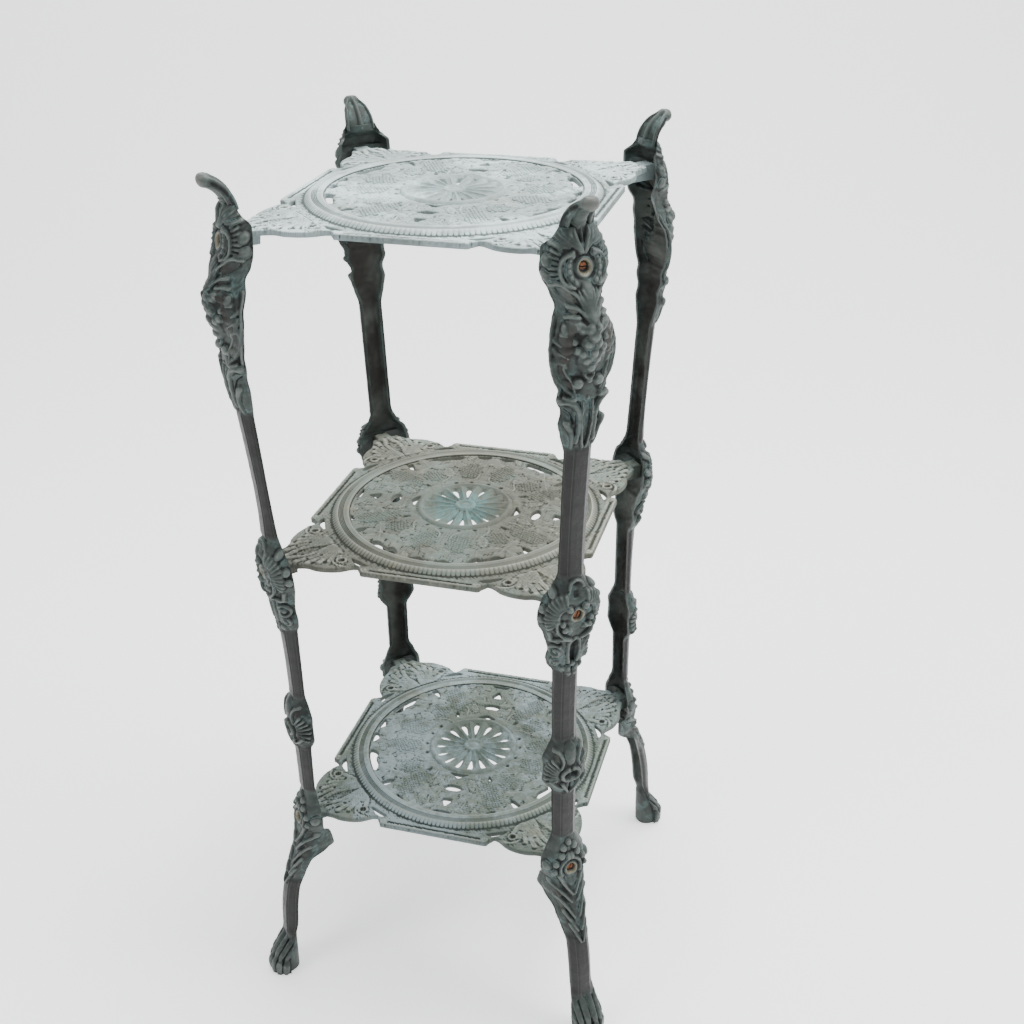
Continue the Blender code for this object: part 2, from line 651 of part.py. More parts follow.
def leg_outlines():
    """Every carved outline: (lower end, upper end, plain widths there, full width, relief, rows)."""
    upper = UPPER_JOINT_HEIGHT
    middle = MIDDLE_JOINT_HEIGHT
    lower = LOWER_JOINT_HEIGHT
    return [(upper - WAIST_DROP, LEG_TOP_HEIGHT, WAIST_WIDTH, HORN_BASE_WIDTH,
             UPPER_SHELL_WIDTH, UPPER_SHELL_SHOULDER, UPPER_SHELL_ROWS_SHARES),
            (upper - KNEE_END_DROP, upper - WAIST_DROP, COLUMN_WIDTH, WAIST_WIDTH,
             KNEE_WIDTH, KNEE_SHOULDER, KNEE_ROWS_SHARES),
            (middle - MIDDLE_LEAF_END_DROP, middle + MIDDLE_SHELL_RISE, COLUMN_WIDTH, COLUMN_WIDTH,
             MIDDLE_SHELL_WIDTH, MIDDLE_SHELL_SHOULDER, MIDDLE_SHELL_ROWS_SHARES),
            (lower + KNOT_START_RISE, lower + KNOT_END_RISE, COLUMN_WIDTH, COLUMN_WIDTH,
             KNOT_WIDTH, KNOT_SHOULDER, KNOT_ROWS_SHARES),
            (lower - LOWER_LEAF_END_DROP, lower + LOWER_SHELL_RISE, SHANK_WIDTH, COLUMN_WIDTH,
             LOWER_SHELL_WIDTH, LOWER_SHELL_SHOULDER, LOWER_SHELL_ROWS_SHARES),
            (0.0, ANKLE_HEIGHT, SOLE_WIDTH, SHANK_WIDTH, FOOT_WIDTH, FOOT_SHOULDER, FOOT_ROWS_SHARES)]


def swell_share(offset, above, below):
    """1 at a swell's middle, rounding off to 0 at the ends of its reach."""
    part = offset / above if offset > 0 else -offset / below
    return math.sqrt(1 - part * part) * (1 - part * part * part * part / 2) if part < 1 else 0.0


def plain_section(height):
    """Width and depth of the leg between the carved parts."""
    low = SHIN_HEIGHT
    high = LOWER_JOINT_HEIGHT + LOWER_COLUMN_RISE
    width = ramp([(low, SHANK_WIDTH), (high, COLUMN_WIDTH)], height)
    depth = ramp([(low, SHANK_DEPTH), (high, COLUMN_DEPTH)], height)
    return width, depth


def carved_section(height, plain_width):
    """Width of the leg and relief of its shoulders, from the carved outline at a height."""
    for low, high, low_width, high_width, full_width, relief, rows in leg_outlines():
        part = (height - low) / (high - low)
        if 0 <= part <= 1:
            base = low_width + (high_width - low_width) * part
            wider = ramp([(place, width) for place, width, shoulder in rows], part)
            raised = ramp([(place, shoulder) for place, width, shoulder in rows], part)
            return base + (full_width - base) * wider, relief * raised
    return plain_width, 0.0


def leg_section(height):
    """Half width, front, lips, hollow floor and shoulders' relief of the leg at a height."""
    plain_width, depth = plain_section(height)
    front = smooth_line(leg_line(), height)
    lips = front - depth
    for middle, above, below, added_front, added_back in leg_swells():
        part = swell_share(height - middle, above, below)
        front += added_front * part
        lips -= added_back * part
    width, shoulders = carved_section(height, plain_width)
    floor = front - LEG_WALL
    for joint_height, seat, counterbore in leg_joints():
        if abs(height - joint_height) <= SEAT_HALF_HEIGHT * (1 + ROUNDING_SHARE):
            floor = seat
    return width / 2, front, lips, floor, shoulders


def open_share(height):
    """1 where the leg's back is open, 0 where it is solid."""
    top = LEG_TOP_HEIGHT - HORN_CLOSED_DROP
    foot = [(FOOT_CLOSED_HEIGHT, 0.0), (FOOT_OPEN_HEIGHT, 1.0)]
    return ramp(foot + [(top - HORN_CLOSED_DROP, 1.0), (top, 0.0)], height)


def section_ring(half_width, front, lips, floor, shoulders, opened):
    """Points (outwards, across) of one section: along the front, then back along the hollow."""
    ring = []
    for step in range(FRONT_POINTS):
        angle = math.pi * (step / (FRONT_POINTS - 1) - 0.5)
        edge = lips + (front - lips) * (1 - opened) / 2
        raised = shoulders * math.sin(2 * abs(angle))
        ring.append((edge + (front - edge) * math.cos(angle) + raised, half_width * math.sin(angle)))
    flat = math.cos(math.pi / 2 / (BACK_POINTS - 1))
    for step in reversed(range(BACK_POINTS)):
        angle = math.pi * (step / (BACK_POINTS - 1) - 0.5)
        hollow = lips + (floor - lips) * min(1, math.cos(angle) / flat)
        middle = (front + lips) / 2
        solid_angle = angle * (1 - LIP_WIDTH / half_width)
        solid = middle - (middle - lips) * math.cos(solid_angle)
        across = (half_width - LIP_WIDTH) * math.sin(angle)
        ring.append((solid + (hollow - solid) * opened, across))
    return ring


def leg_heights():
    """Heights of the leg's sections: its ends and seats first, then the carved outlines' rows."""
    top = LEG_TOP_HEIGHT
    kept = [0.0, top]
    for joint_height, seat, counterbore in leg_joints():
        kept += [joint_height - SEAT_HALF_HEIGHT, joint_height, joint_height + SEAT_HALF_HEIGHT]
    marks = []
    for low, high, *widths, rows in leg_outlines():
        marks += [low + (high - low) * place for place, width, shoulder in rows]
    marks += [FOOT_CLOSED_HEIGHT, top - HORN_CLOSED_DROP, (ANKLE_HEIGHT + SHIN_HEIGHT) / 2]
    for mark in marks:
        if 0 < mark < top and min(abs(mark - other) for other in kept) >= STATION_LEAST_STEP:
            kept.append(mark)
    return sorted(kept)


def horn_rings(base):
    """Sections of the curled finial above the leg's top section."""
    half_width, front, lips, floor, shoulders = base
    place = Vector(((front + lips) / 2, LEG_TOP_HEIGHT))
    half_widths = [(0.0, half_width), (0.5, HORN_MIDDLE_WIDTH / 2), (1.0, HORN_TIP_WIDTH / 2)]
    step_length = HORN_LENGTH / HORN_STATIONS
    rings = []
    for step in range(1, HORN_STATIONS + 1):
        part = step / HORN_STATIONS
        angle = math.radians(HORN_START_ANGLE + (HORN_END_ANGLE - HORN_START_ANGLE) * part)
        direction = Vector((math.sin(angle), math.cos(angle)))
        place = place + direction * step_length
        out = Vector((direction.y, -direction.x))
        blend = min(1, 2 * part)
        depth = (front - lips) * (1 - blend) + HORN_DEPTH * blend
        if step == HORN_STATIONS:
            depth = HORN_TIP_DEPTH
        ring = section_ring(ramp(half_widths, part), depth / 2, -depth / 2, 0.0, 0.0, 0.0)
        rings.append([(place.x + out.x * outwards, across, place.y + out.y * outwards)
                      for outwards, across in ring])
    return rings


def leg_mesh():
    """The leg along +X from the stand's axis, lofted from section to section."""
    rings = []
    for height in leg_heights():
        ring = section_ring(*leg_section(height), open_share(height))
        rings.append([(outwards, across, height) for outwards, across in ring])
    rings += horn_rings(leg_section(LEG_TOP_HEIGHT))
    points = [point for ring in rings for point in ring]
    return mesh_from_faces("leg", points, loft_faces(len(rings), len(rings[0])))


def leg_bore_cutter():
    """Stepped bores for the leg's three screws."""
    all_points = []
    all_faces = []
    hole = SCREW_RADIUS + CLEARANCE
    head = HEAD_RADIUS + COUNTERBORE_MARGIN
    for height, seat, counterbore in leg_joints():
        profile = [(seat - CUT_OVERRUN, hole), (counterbore, hole), (counterbore, head),
                   (counterbore + COUNTERBORE_DEPTH + CUT_OVERRUN, head)]
        points, faces = lathe(profile, SCREW_SIDES)
        first = len(all_points)
        all_points += [Vector(point) + Vector((0, 0, height)) for point in points]
        all_faces += [tuple(first + index for index in face) for face in faces]
    return mesh_from_faces("leg_bores", all_points, all_faces)


# The screw

def screw_length():
    """Length under the head: through the leg's wall and into the shelf's boss."""
    return JOINT_WALL - COUNTERBORE_DEPTH + 2 * CLEARANCE + SCREW_GRIP


def screw_mesh():
    """A slotted screw along X, with the underside of its head at x = 0 and its head towards +X."""
    crown = HEAD_THICKNESS + HEAD_CROWN
    profile = [(-screw_length(), SCREW_RADIUS), (0.0, SCREW_RADIUS), (0.0, HEAD_RADIUS),
               (HEAD_THICKNESS, HEAD_RADIUS), (crown, HEAD_RADIUS / 2)]
    body = mesh_from_faces("screw", *lathe(profile, SCREW_SIDES))
    deep = crown - HEAD_SLOT_DEPTH
    far = crown + CUT_OVERRUN
    half = HEAD_SLOT_WIDTH / 2
    side = HEAD_RADIUS + CUT_OVERRUN
    points = [(x, y, z) for x in (deep, far) for y in (-half, half) for z in (-side, side)]
    faces = [(0, 1, 3, 2), (4, 5, 7, 6), (0, 1, 5, 4), (2, 3, 7, 6), (0, 2, 6, 4), (1, 3, 7, 5)]
    return carve(body, mesh_from_faces("screw_slot", points, faces))


def smooth_round_faces(mesh):
    """Shades the faces smooth, apart from the edges sharper than the named angle."""
    for polygon in mesh.polygons:
        polygon.use_smooth = True
    mesh.set_sharp_from_angle(angle=math.radians(SHARP_EDGE_ANGLE))


def build():
    clear_scene()
    finishes = {"top": TOP_SHELF_FINISH, "middle": MIDDLE_SHELF_FINISH, "bottom": BOTTOM_SHELF_FINISH}
    leg = carve(leg_mesh(), leg_bore_cutter())
    smooth_round_faces(leg)
    screw = screw_mesh()
    smooth_round_faces(screw)
    for corner_name, corner in CORNERS.items():
        name = "leg_" + corner_name
        item = add_object(name, leg.copy(), make_material(name, LEG_FINISH))
        item.rotation_euler.z = math.atan2(corner[1], corner[0])
    for shelf_name, (joint_height, seat, counterbore) in zip(SHELVES, leg_joints()):
        plate_top = joint_height + SCREW_DROP - BOSS_TOP_DROP
        plate_bottom = joint_height + SCREW_DROP - PLATE_DROP - PLATE_THICKNESS
        lips = min(leg_section(level)[2] for level in (plate_bottom, plate_top))
        panel_end = lips - CLEARANCE
        boss_end = seat - CLEARANCE
        hole_depth = SCREW_GRIP + 2 * CLEARANCE
        name = "shelf_" + shelf_name
        shelf = carve(shelf_mesh(name, panel_end, boss_end), boss_hole_cutter(boss_end, hole_depth))
        item = add_object(name, shelf, make_material(name, finishes[shelf_name]))
        item.location.z = joint_height + SCREW_DROP
        if shelf_name == "middle":
            item.rotation_euler.z = math.pi / 2
        for corner_name, corner in CORNERS.items():
            name = "screw_" + shelf_name + "_" + corner_name
            item = add_object(name, screw.copy(), make_material(name, SCREW_FINISH))
            angle = math.atan2(corner[1], corner[0])
            distance = counterbore + CLEARANCE
            item.location = (distance * math.cos(angle), distance * math.sin(angle), joint_height)
            item.rotation_euler.z = angle


build()
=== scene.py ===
"""Looks of the tiered cast stand: vine relief on the shelves, carving on the legs, patina and rust."""

import math

import bpy
import numpy as np
from mathutils import Matrix, Vector
from mathutils.geometry import delaunay_2d_cdt


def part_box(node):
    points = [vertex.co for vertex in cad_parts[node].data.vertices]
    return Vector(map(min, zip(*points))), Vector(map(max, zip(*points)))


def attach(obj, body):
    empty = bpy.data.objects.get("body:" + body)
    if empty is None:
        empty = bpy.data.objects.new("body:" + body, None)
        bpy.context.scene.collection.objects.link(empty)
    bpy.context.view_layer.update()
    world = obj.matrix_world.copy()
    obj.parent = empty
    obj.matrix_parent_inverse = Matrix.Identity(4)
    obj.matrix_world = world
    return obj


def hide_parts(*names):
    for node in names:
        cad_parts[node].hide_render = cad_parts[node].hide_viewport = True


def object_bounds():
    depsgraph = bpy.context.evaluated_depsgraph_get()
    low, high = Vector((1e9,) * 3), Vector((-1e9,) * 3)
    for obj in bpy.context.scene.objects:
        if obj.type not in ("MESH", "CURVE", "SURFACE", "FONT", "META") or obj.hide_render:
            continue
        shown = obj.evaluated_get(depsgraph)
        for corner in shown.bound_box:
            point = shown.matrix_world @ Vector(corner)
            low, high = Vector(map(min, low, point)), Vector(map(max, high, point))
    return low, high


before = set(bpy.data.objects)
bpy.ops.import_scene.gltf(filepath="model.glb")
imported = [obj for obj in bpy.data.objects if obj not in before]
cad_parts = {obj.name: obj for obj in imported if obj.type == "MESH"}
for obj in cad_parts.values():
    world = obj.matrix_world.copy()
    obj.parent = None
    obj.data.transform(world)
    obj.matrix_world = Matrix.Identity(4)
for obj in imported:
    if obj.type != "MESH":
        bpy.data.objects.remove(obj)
CAD_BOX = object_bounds()
SEED = 7
LEG_REACH = CAD_BOX[1][0] * math.sqrt(2) - 0.0002

# Shelves: pierced field, raised ring, sloping reeded band, bars and leafy corner panels
SHELF_HEIGHTS = {shelf: round(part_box("shelf_" + shelf)[1][2], 4) for shelf in ("top", "middle", "bottom")}
FIELD_RADIUS = 0.115
FIELD_DROP = 0.0020
FIELD_THICKNESS = 0.0045
ROSETTE_RADIUS = 0.0480
RING_WALL = 0.0008
RING_FLAT_END = 0.1212
RING_RIDGES_END = 0.1266
RING_RIDGE_DROP = 0.0004
RING_RIDGES = 4
BAND_END = 0.1335
BAND_LEAVES = 184
UNDER_STEP_END = 0.13005
PLATE_DROP = 0.0047
PLATE_THICKNESS = 0.0048
BAR_REACH = 0.1432
BAR_HALF_LENGTH = 0.0584
BOSS_WIDTH = 0.0160
BOSS_LENGTH = 0.0120
BOSS_DROP = 0.0195
BOSS_DRAFT = 0.0008
PANEL_END_WIDTH = 0.0280
JOINT_CLEARANCE = 0.0003
SCREW_DROP = 0.0130

# Rosette
HUB_RADIUS = 0.0100
SPOKE_COUNT = 16
SLOT_INNER_RADIUS = 0.0220
SLOT_OUTER_RADIUS = 0.0405
SLOT_INNER_WIDTH = 0.0018
SLOT_OUTER_WIDTH = 0.0062
ROSETTE_RING_RADIUS = 0.0448

# Piercings as shares of the field's radius: half outlines on the mirror line, then whole ones in one quarter
INNER_CRESCENT_SHARES = ((0.0, 0.440), (0.055, 0.436), (0.092, 0.438), (0.040, 0.472), (0.0, 0.498))
OVAL_SHARES = ((0.0, 0.596), (0.055, 0.604), (0.090, 0.636), (0.055, 0.668), (0.0, 0.676))
DROP_SHARES = ((0.0, 0.786), (0.052, 0.791), (0.028, 0.848), (0.0, 0.897))
RIM_CRESCENT_SHARES = ((0.0, 0.956), (0.055, 0.961), (0.098, 0.983), (0.0, 0.990))
QUARTER_SHARES = (
    ((0.383, 0.914), (0.430, 0.892), (0.476, 0.868), (0.468, 0.850), (0.420, 0.880)),
    ((0.622, 0.770), (0.588, 0.729), (0.564, 0.684), (0.574, 0.664), (0.644, 0.706), (0.672, 0.727)),
    ((0.944, 0.305), (0.908, 0.400), (0.859, 0.496), (0.790, 0.600),
     (0.770, 0.505), (0.822, 0.440), (0.850, 0.400), (0.832, 0.360), (0.888, 0.306)),
    ((0.989, 0.042), (0.958, 0.050), (0.921, 0.102), (0.950, 0.165), (0.972, 0.186), (0.984, 0.110)),
    ((0.278, 0.392), (0.284, 0.458), (0.330, 0.462)),
    ((0.385, 0.195), (0.410, 0.195), (0.412, 0.224), (0.388, 0.224)),
    ((0.430, 0.068), (0.452, 0.070), (0.450, 0.092), (0.432, 0.090)),
)
PANEL_EDGE_SHARES = ((0.442, 0.928), (0.480, 0.940), (0.545, 0.984), (0.620, 1.006), (0.700, 1.010),
                     (0.775, 0.996))
PANEL_GAP_SHARES = ((0.366, 0.909), (0.415, 0.924), (0.470, 0.901), (0.528, 0.834), (0.447, 0.872))
PANEL_HOLE_PLACE_SHARES = (0.566, 0.893)
PANEL_HOLE_RADIUS = 0.0028


# Paths and distances

def arc(centre, radius, start, end, count):
    angles = np.radians(np.linspace(start, end, count))
    return np.column_stack([centre[0] + radius * np.cos(angles), centre[1] + radius * np.sin(angles)])


def spiral(centre, radius, start, turns, count=26):
    """From the outer end of a scroll into its eye; positive turns run anticlockwise."""
    part = np.linspace(0, 1, count)
    angles = math.radians(start) + math.tau * turns * part
    radii = radius * (1 - 0.82 * part)
    return np.column_stack([centre[0] + radii * np.cos(angles), centre[1] + radii * np.sin(angles)])


def curve(*points, count=16):
    """A smooth path through a few points."""
    places = np.array(points, float)
    ends = np.vstack([2 * places[0] - places[1], places, 2 * places[-1] - places[-2]])
    pieces = []
    for index in range(1, len(ends) - 2):
        before, start, end, after = ends[index - 1:index + 3]
        t = np.linspace(0, 1, count, endpoint=False)[:, None]
        square, cube = 2 * before - 5 * start + 4 * end - after, 3 * start - before - 3 * end + after
        pieces.append(0.5 * (2 * start + (end - before) * t + square * t ** 2 + cube * t ** 3))
    return np.vstack(pieces + [places[-1:]])


def rounded(loop, passes=2):
    """A closed outline with its corners cut back."""
    loop = np.array(loop, float)
    for _ in range(passes):
        after = np.roll(loop, -1, axis=0)
        loop = np.stack([0.8 * loop + 0.2 * after, 0.2 * loop + 0.8 * after], axis=1).reshape(-1, 2)
    return loop


def path_distance(x, y, path):
    """Distance to a path, and how far along it the nearest point lies, from 0 to 1."""
    best = np.full(x.shape, np.inf)
    along = np.zeros(x.shape)
    lengths = np.hypot(*np.diff(path, axis=0).T)
    passed = 0.0
    for start, end, length in zip(path[:-1], path[1:], lengths):
        step = end - start
        reached = (x - start[0]) * step[0] + (y - start[1]) * step[1]
        part = np.clip(reached / max(length * length, 1e-14), 0, 1)
        distance = np.hypot(x - start[0] - part * step[0], y - start[1] - part * step[1])
        closer = distance < best
        best = np.where(closer, distance, best)
        along = np.where(closer, (passed + part * length) / lengths.sum(), along)
        passed += length
    return best, along


def inside_loop(x, y, loop):
    inside = np.zeros(x.shape, bool)
    for (ax, ay), (bx, by) in zip(loop, np.roll(loop, -1, axis=0)):
        if ay != by:
            inside ^= ((ay > y) != (by > y)) & (x < (bx - ax) * (y - ay) / (by - ay) + ax)
    return inside


def signed_distance(x, y, loop):
    """Distance to a closed outline, positive inside it."""
    distance, _ = path_distance(x, y, np.vstack([loop, loop[:1]]))
    return np.where(inside_loop(x, y, loop), distance, -distance)


def soft_noise(x, y, size, seed):
    """Smooth random hills, about -1 to 1, with hills about one size across."""
    random = np.random.default_rng(seed)
    total = np.zeros(x.shape)
    for _ in range(7):
        angle = random.uniform(0, math.tau)
        wave = size * random.uniform(0.7, 1.6)
        along = x * math.cos(angle) + y * math.sin(angle)
        total += np.sin(along * math.tau / wave + random.uniform(0, math.tau))
    return total / 3.0


# Relief: heights over scattered points, built up from simple carved forms

class Relief:
    def __init__(self, x, y, fullness=1.0, gap=None):
        self.x = x
        self.y = y
        self.fullness = fullness
        self.gap = gap
        self.height = np.zeros(x.shape)

    def near(self, low, high, reach):
        inside = (self.x > low[0] - reach) & (self.x < high[0] + reach)
        return np.nonzero(inside & (self.y > low[1] - reach) & (self.y < high[1] + reach))

    def lift(self, spot, height):
        self.height[spot] = np.maximum(self.height[spot], height)

    def dome(self, centre, long, wide, height, turn=0.0, power=0.5):
        """A rounded lump, long along its own axis."""
        spot = self.near(centre, centre, max(long, wide))
        dx, dy = self.x[spot] - centre[0], self.y[spot] - centre[1]
        c, s = math.cos(math.radians(turn)), math.sin(math.radians(turn))
        part = np.clip(1 - ((dx * c + dy * s) / long) ** 2 - ((dy * c - dx * s) / wide) ** 2, 0, 1)
        self.lift(spot, height * part ** power)

    def ridge(self, path, width, height, end_width=None, power=0.6):
        """A raised rib along a path, which may taper."""
        last = (width if end_width is None else end_width) * self.fullness
        width = width * self.fullness
        spot = self.near(path.min(0), path.max(0), max(width, last))
        distance, along = path_distance(self.x[spot], self.y[spot], path)
        half = (width + (last - width) * along) / 2
        scale = np.sqrt(half / (max(width, last) / 2))
        self.lift(spot, height * scale * np.clip(1 - (distance / half) ** 2, 0, 1) ** power)

    def groove(self, path, width, depth, end_width=None):
        last = width if end_width is None else end_width
        spot = self.near(path.min(0), path.max(0), max(width, last))
        distance, along = path_distance(self.x[spot], self.y[spot], path)
        half = (width + (last - width) * along) / 2
        self.height[spot] -= depth * np.clip(1 - (distance / half) ** 2, 0, 1)

    def scroll(self, centre, radius, start, turns, width, height):
        self.dome(centre, radius * 0.95, radius * 0.95, height * 0.45)
        self.ridge(spiral(centre, radius - width / 2, start, turns), width, height, width * 0.7)
        self.dome(centre, radius * 0.28, radius * 0.28, height)

    def rim(self, low, high, inset, width, height):
        """A raised rib at an even distance from the face's edge, between two heights."""
        ends = np.clip((self.y - low) / width, 0, 1) * np.clip((high - self.y) / width, 0, 1)
        rib = height * np.clip(1 - ((self.gap - inset) / (width / 2)) ** 2, 0, 1) ** 0.6
        self.height = np.maximum(self.height, rib * ends ** 0.5)

    def leaf(self, base, length, width, turn, height, veins=3, cup=0.35):
        """A pointed leaf with a midrib, side veins and a lifted edge."""
        spot = self.near(base, base, length)
        dx, dy = self.x[spot] - base[0], self.y[spot] - base[1]
        c, s = math.cos(math.radians(turn)), math.sin(math.radians(turn))
        along, across = (dx * c + dy * s) / length, np.abs(dy * c - dx * s)
        clipped = np.clip(along, 0, 1)
        lobes = 1 + 0.10 * np.sin(clipped * math.tau * (veins + 1))
        half = width / 2 * np.sin(np.pi * clipped ** 0.75) ** 0.8 * lobes
        part = across / np.maximum(half, 1e-6)
        body = height * np.clip(1 - part ** 4, 0, 1) ** 0.5 * (1 - cup * np.cos(part * np.pi * 0.9) ** 2)
        rib = height * 0.5 * np.clip(1 - across / (width * 0.10), 0, 1) * (1 - clipped)
        vein = 0.18 * height * np.cos((clipped * (veins + 1) - part * 0.55) * math.tau)
        inside = (along > 0) & (along < 1) & (part < 1)
        self.lift(spot, np.where(inside, body + rib + vein * (1 - part), 0))

    def vine_leaf(self, centre, size, turn, height, lobes=5):
        """A broad lobed leaf with veins that spread from its stalk."""
        spot = self.near(centre, centre, size)
        dx, dy = self.x[spot] - centre[0], self.y[spot] - centre[1]
        radius = np.hypot(dx, dy)
        angle = np.arctan2(dy, dx) - math.radians(turn)
        angle = (angle + np.pi) % math.tau - np.pi
        spread = math.radians(290) / lobes
        phase = np.abs((angle / spread + 0.5) % 1 - 0.5)
        reach = size * (0.62 + 0.38 * np.cos(np.pi * phase) ** 1.4) * (1 - 0.16 * np.abs(angle) / np.pi)
        reach = reach * (1 + 0.045 * np.cos(angle * 34))
        reach = reach * np.clip((math.radians(158) - np.abs(angle)) / 0.3, 0.15, 1)
        part = radius / reach
        body = height * np.clip(1 - part ** 5, 0, 1) ** 0.5 * (0.62 + 0.38 * np.clip(part * 1.4, 0, 1))
        vein = np.clip(1 - radius * np.sin(phase * spread) / (size * 0.045), 0, 1) * np.clip(1.1 - part, 0, 1)
        crease = 0.30 * height * np.clip(phase * 2, 0, 1) * np.clip(part * 1.6, 0, 1)
        self.lift(spot, np.where(part < 1, body + 0.42 * height * vein - crease, 0))


def blurred(grid, passes, wrap):
    """A height grid smoothed over its neighbours; wrap closes its second direction."""
    result = grid.copy()
    for _ in range(passes):
        padded = np.pad(result, ((1, 1), (0, 0)), mode="edge")
        result = (padded[:-2] + 2 * padded[1:-1] + padded[2:]) / 4
        padded = np.pad(result, ((0, 0), (1, 1)), mode="wrap" if wrap else "edge")
        result = (padded[:, :-2] + 2 * padded[:, 1:-1] + padded[:, 2:]) / 4
    return result


# Meshes from arrays

def mesh_object(name, points, faces, marks=None, material=None, smooth=True):
    mesh = bpy.data.meshes.new(name)
    mesh.from_pydata(np.asarray(points, float).tolist(), [], [list(map(int, face)) for face in faces])
    mesh.validate()
    for mark, values in (marks or {}).items():
        attribute = mesh.attributes.new(mark, "FLOAT", "POINT")
        attribute.data.foreach_set("value", np.asarray(values, np.float32))
    if smooth:
        mesh.shade_smooth()
        mesh.set_sharp_from_angle(angle=math.radians(58))
    if material is not None:
        mesh.materials.append(material)
    item = bpy.data.objects.new(name, mesh)
    bpy.context.scene.collection.objects.link(item)
    return item


def ring_faces(rows, columns):
    """Triangles between closed rings of points, one ring after the other."""
    row = np.arange(rows - 1)[:, None]
    column = np.arange(columns)[None, :]
    after = (column + 1) % columns
    a, b = row * columns + column, row * columns + after
    c, d = (row + 1) * columns + after, (row + 1) * columns + column
    first = np.stack([a, b, c], axis=-1).reshape(-1, 3)
    second = np.stack([a, c, d], axis=-1).reshape(-1, 3)
    return np.vstack([first, second])


def capped_faces(rows, columns):
    """Triangles of a tube of rings, and a face over each of its ends."""
    faces = ring_faces(rows, columns).tolist()
    faces.append(list(range(columns))[::-1])
    faces.append([(rows - 1) * columns + step for step in range(columns)])
    return faces


def trim(points, values, triangles, metal):
    """Keeps the triangles where metal is above zero and cuts those that cross its edge."""
    inside = metal > 0
    count = inside[triangles].sum(axis=1)
    kept = [triangles[count == 3]]
    new_edges = []
    pending = []
    for wanted in (1, 2):
        corners = triangles[count == wanted]
        odd = inside[corners] if wanted == 1 else ~inside[corners]
        turn = odd.argmax(axis=1)
        corners = np.take_along_axis(corners, (turn[:, None] + np.arange(3)) % 3, axis=1)
        pending.append(corners)
        for other in (1, 2):
            pair = corners[:, [0, other]] if wanted == 1 else corners[:, [other, 0]]
            new_edges.append(pair)
    stacked = np.vstack(new_edges)
    unique, place = np.unique(stacked, axis=0, return_inverse=True)
    place = place.reshape(-1) + len(points)
    start, end = unique[:, 0], unique[:, 1]
    share = np.clip(metal[start] / (metal[start] - metal[end]), 0.03, 0.97)[:, None]
    points = np.vstack([points, points[start] * (1 - share) + points[end] * share])
    values = np.vstack([values, values[start] * (1 - share) + values[end] * share])
    sizes = [len(pair) for pair in new_edges]
    splits = np.split(place, np.cumsum(sizes)[:-1])
    one, two = pending
    kept.append(np.column_stack([one[:, 0], splits[0], splits[1]]))
    kept.append(np.column_stack([splits[2], two[:, 1], two[:, 2]]))
    kept.append(np.column_stack([splits[2], two[:, 2], splits[3]]))
    triangles = np.vstack(kept)
    used, renumbered = np.unique(triangles, return_inverse=True)
    return points[used], values[used], renumbered.reshape(-1, 3)


def open_edges(triangles):
    """Directed edges that only one triangle has."""
    edges = np.vstack([triangles[:, [0, 1]], triangles[:, [1, 2]], triangles[:, [2, 0]]])
    size = int(edges.max()) + 1
    forward = edges[:, 0] * size + edges[:, 1]
    backward = edges[:, 1] * size + edges[:, 0]
    return edges[~np.isin(forward, backward)]


def closed_plate(points, triangles, under, extra_points):
    """Adds walls and an underside to a trimmed sheet; under gives the underside's height."""
    edges = open_edges(triangles)
    rim = np.unique(edges)
    place = {int(index): step for step, index in enumerate(rim)}
    flat = [Vector((float(points[index][0]), float(points[index][1]))) for index in rim]
    flat += [Vector(point) for point in extra_points]
    lines = [(place[int(a)], place[int(b)]) for a, b in edges]
    scale = FIELD_RADIUS
    result = delaunay_2d_cdt([point / scale for point in flat], lines, [], 0, 1e-7)
    verts = np.array([tuple(point * scale) for point in result[0]])
    faces = np.array([face for face in result[2] if len(face) == 3])
    origin = [min(indices) if len(indices) else -1 for indices in result[3]]
    middles = verts[faces].mean(axis=1)
    loops = edge_loops(lines)
    inside = np.zeros(len(middles), bool)
    for loop in loops:
        outline = np.array([tuple(flat[index]) for index in loop])
        inside ^= inside_loop(middles[:, 0], middles[:, 1], outline)
    faces = faces[inside]
    first = len(points)
    low = np.column_stack([verts, under(verts[:, 0], verts[:, 1])])
    lookup = {}
    for step, start in enumerate(origin):
        if 0 <= start < len(rim):
            lookup[int(rim[start])] = first + step
    walls = []
    for a, b in edges:
        a, b = int(a), int(b)
        walls.append((b, a, lookup[a]))
        walls.append((b, lookup[a], lookup[b]))
    all_faces = np.vstack([triangles, np.array(walls), faces[:, ::-1] + first])
    all_points = np.vstack([points, low])
    used, renumbered = np.unique(all_faces, return_inverse=True)
    return all_points[used], renumbered.reshape(-1, 3), used


def edge_loops(lines):
    """Closed chains of point numbers from a list of directed edges."""
    after = {}
    for start, end in lines:
        after.setdefault(start, []).append(end)
    loops = []
    while after:
        start = next(iter(after))
        chain = [start]
        while True:
            ends = after[chain[-1]]
            following = ends.pop()
            if not ends:
                del after[chain[-1]]
            if following == start:
                break
            chain.append(following)
        loops.append(chain)
    return loops


# Materials: shader maths written as expressions

# The colour sockets of a mix node, by number
MIX_INPUTS = (6, 7)
MIX_OUTPUT = 2


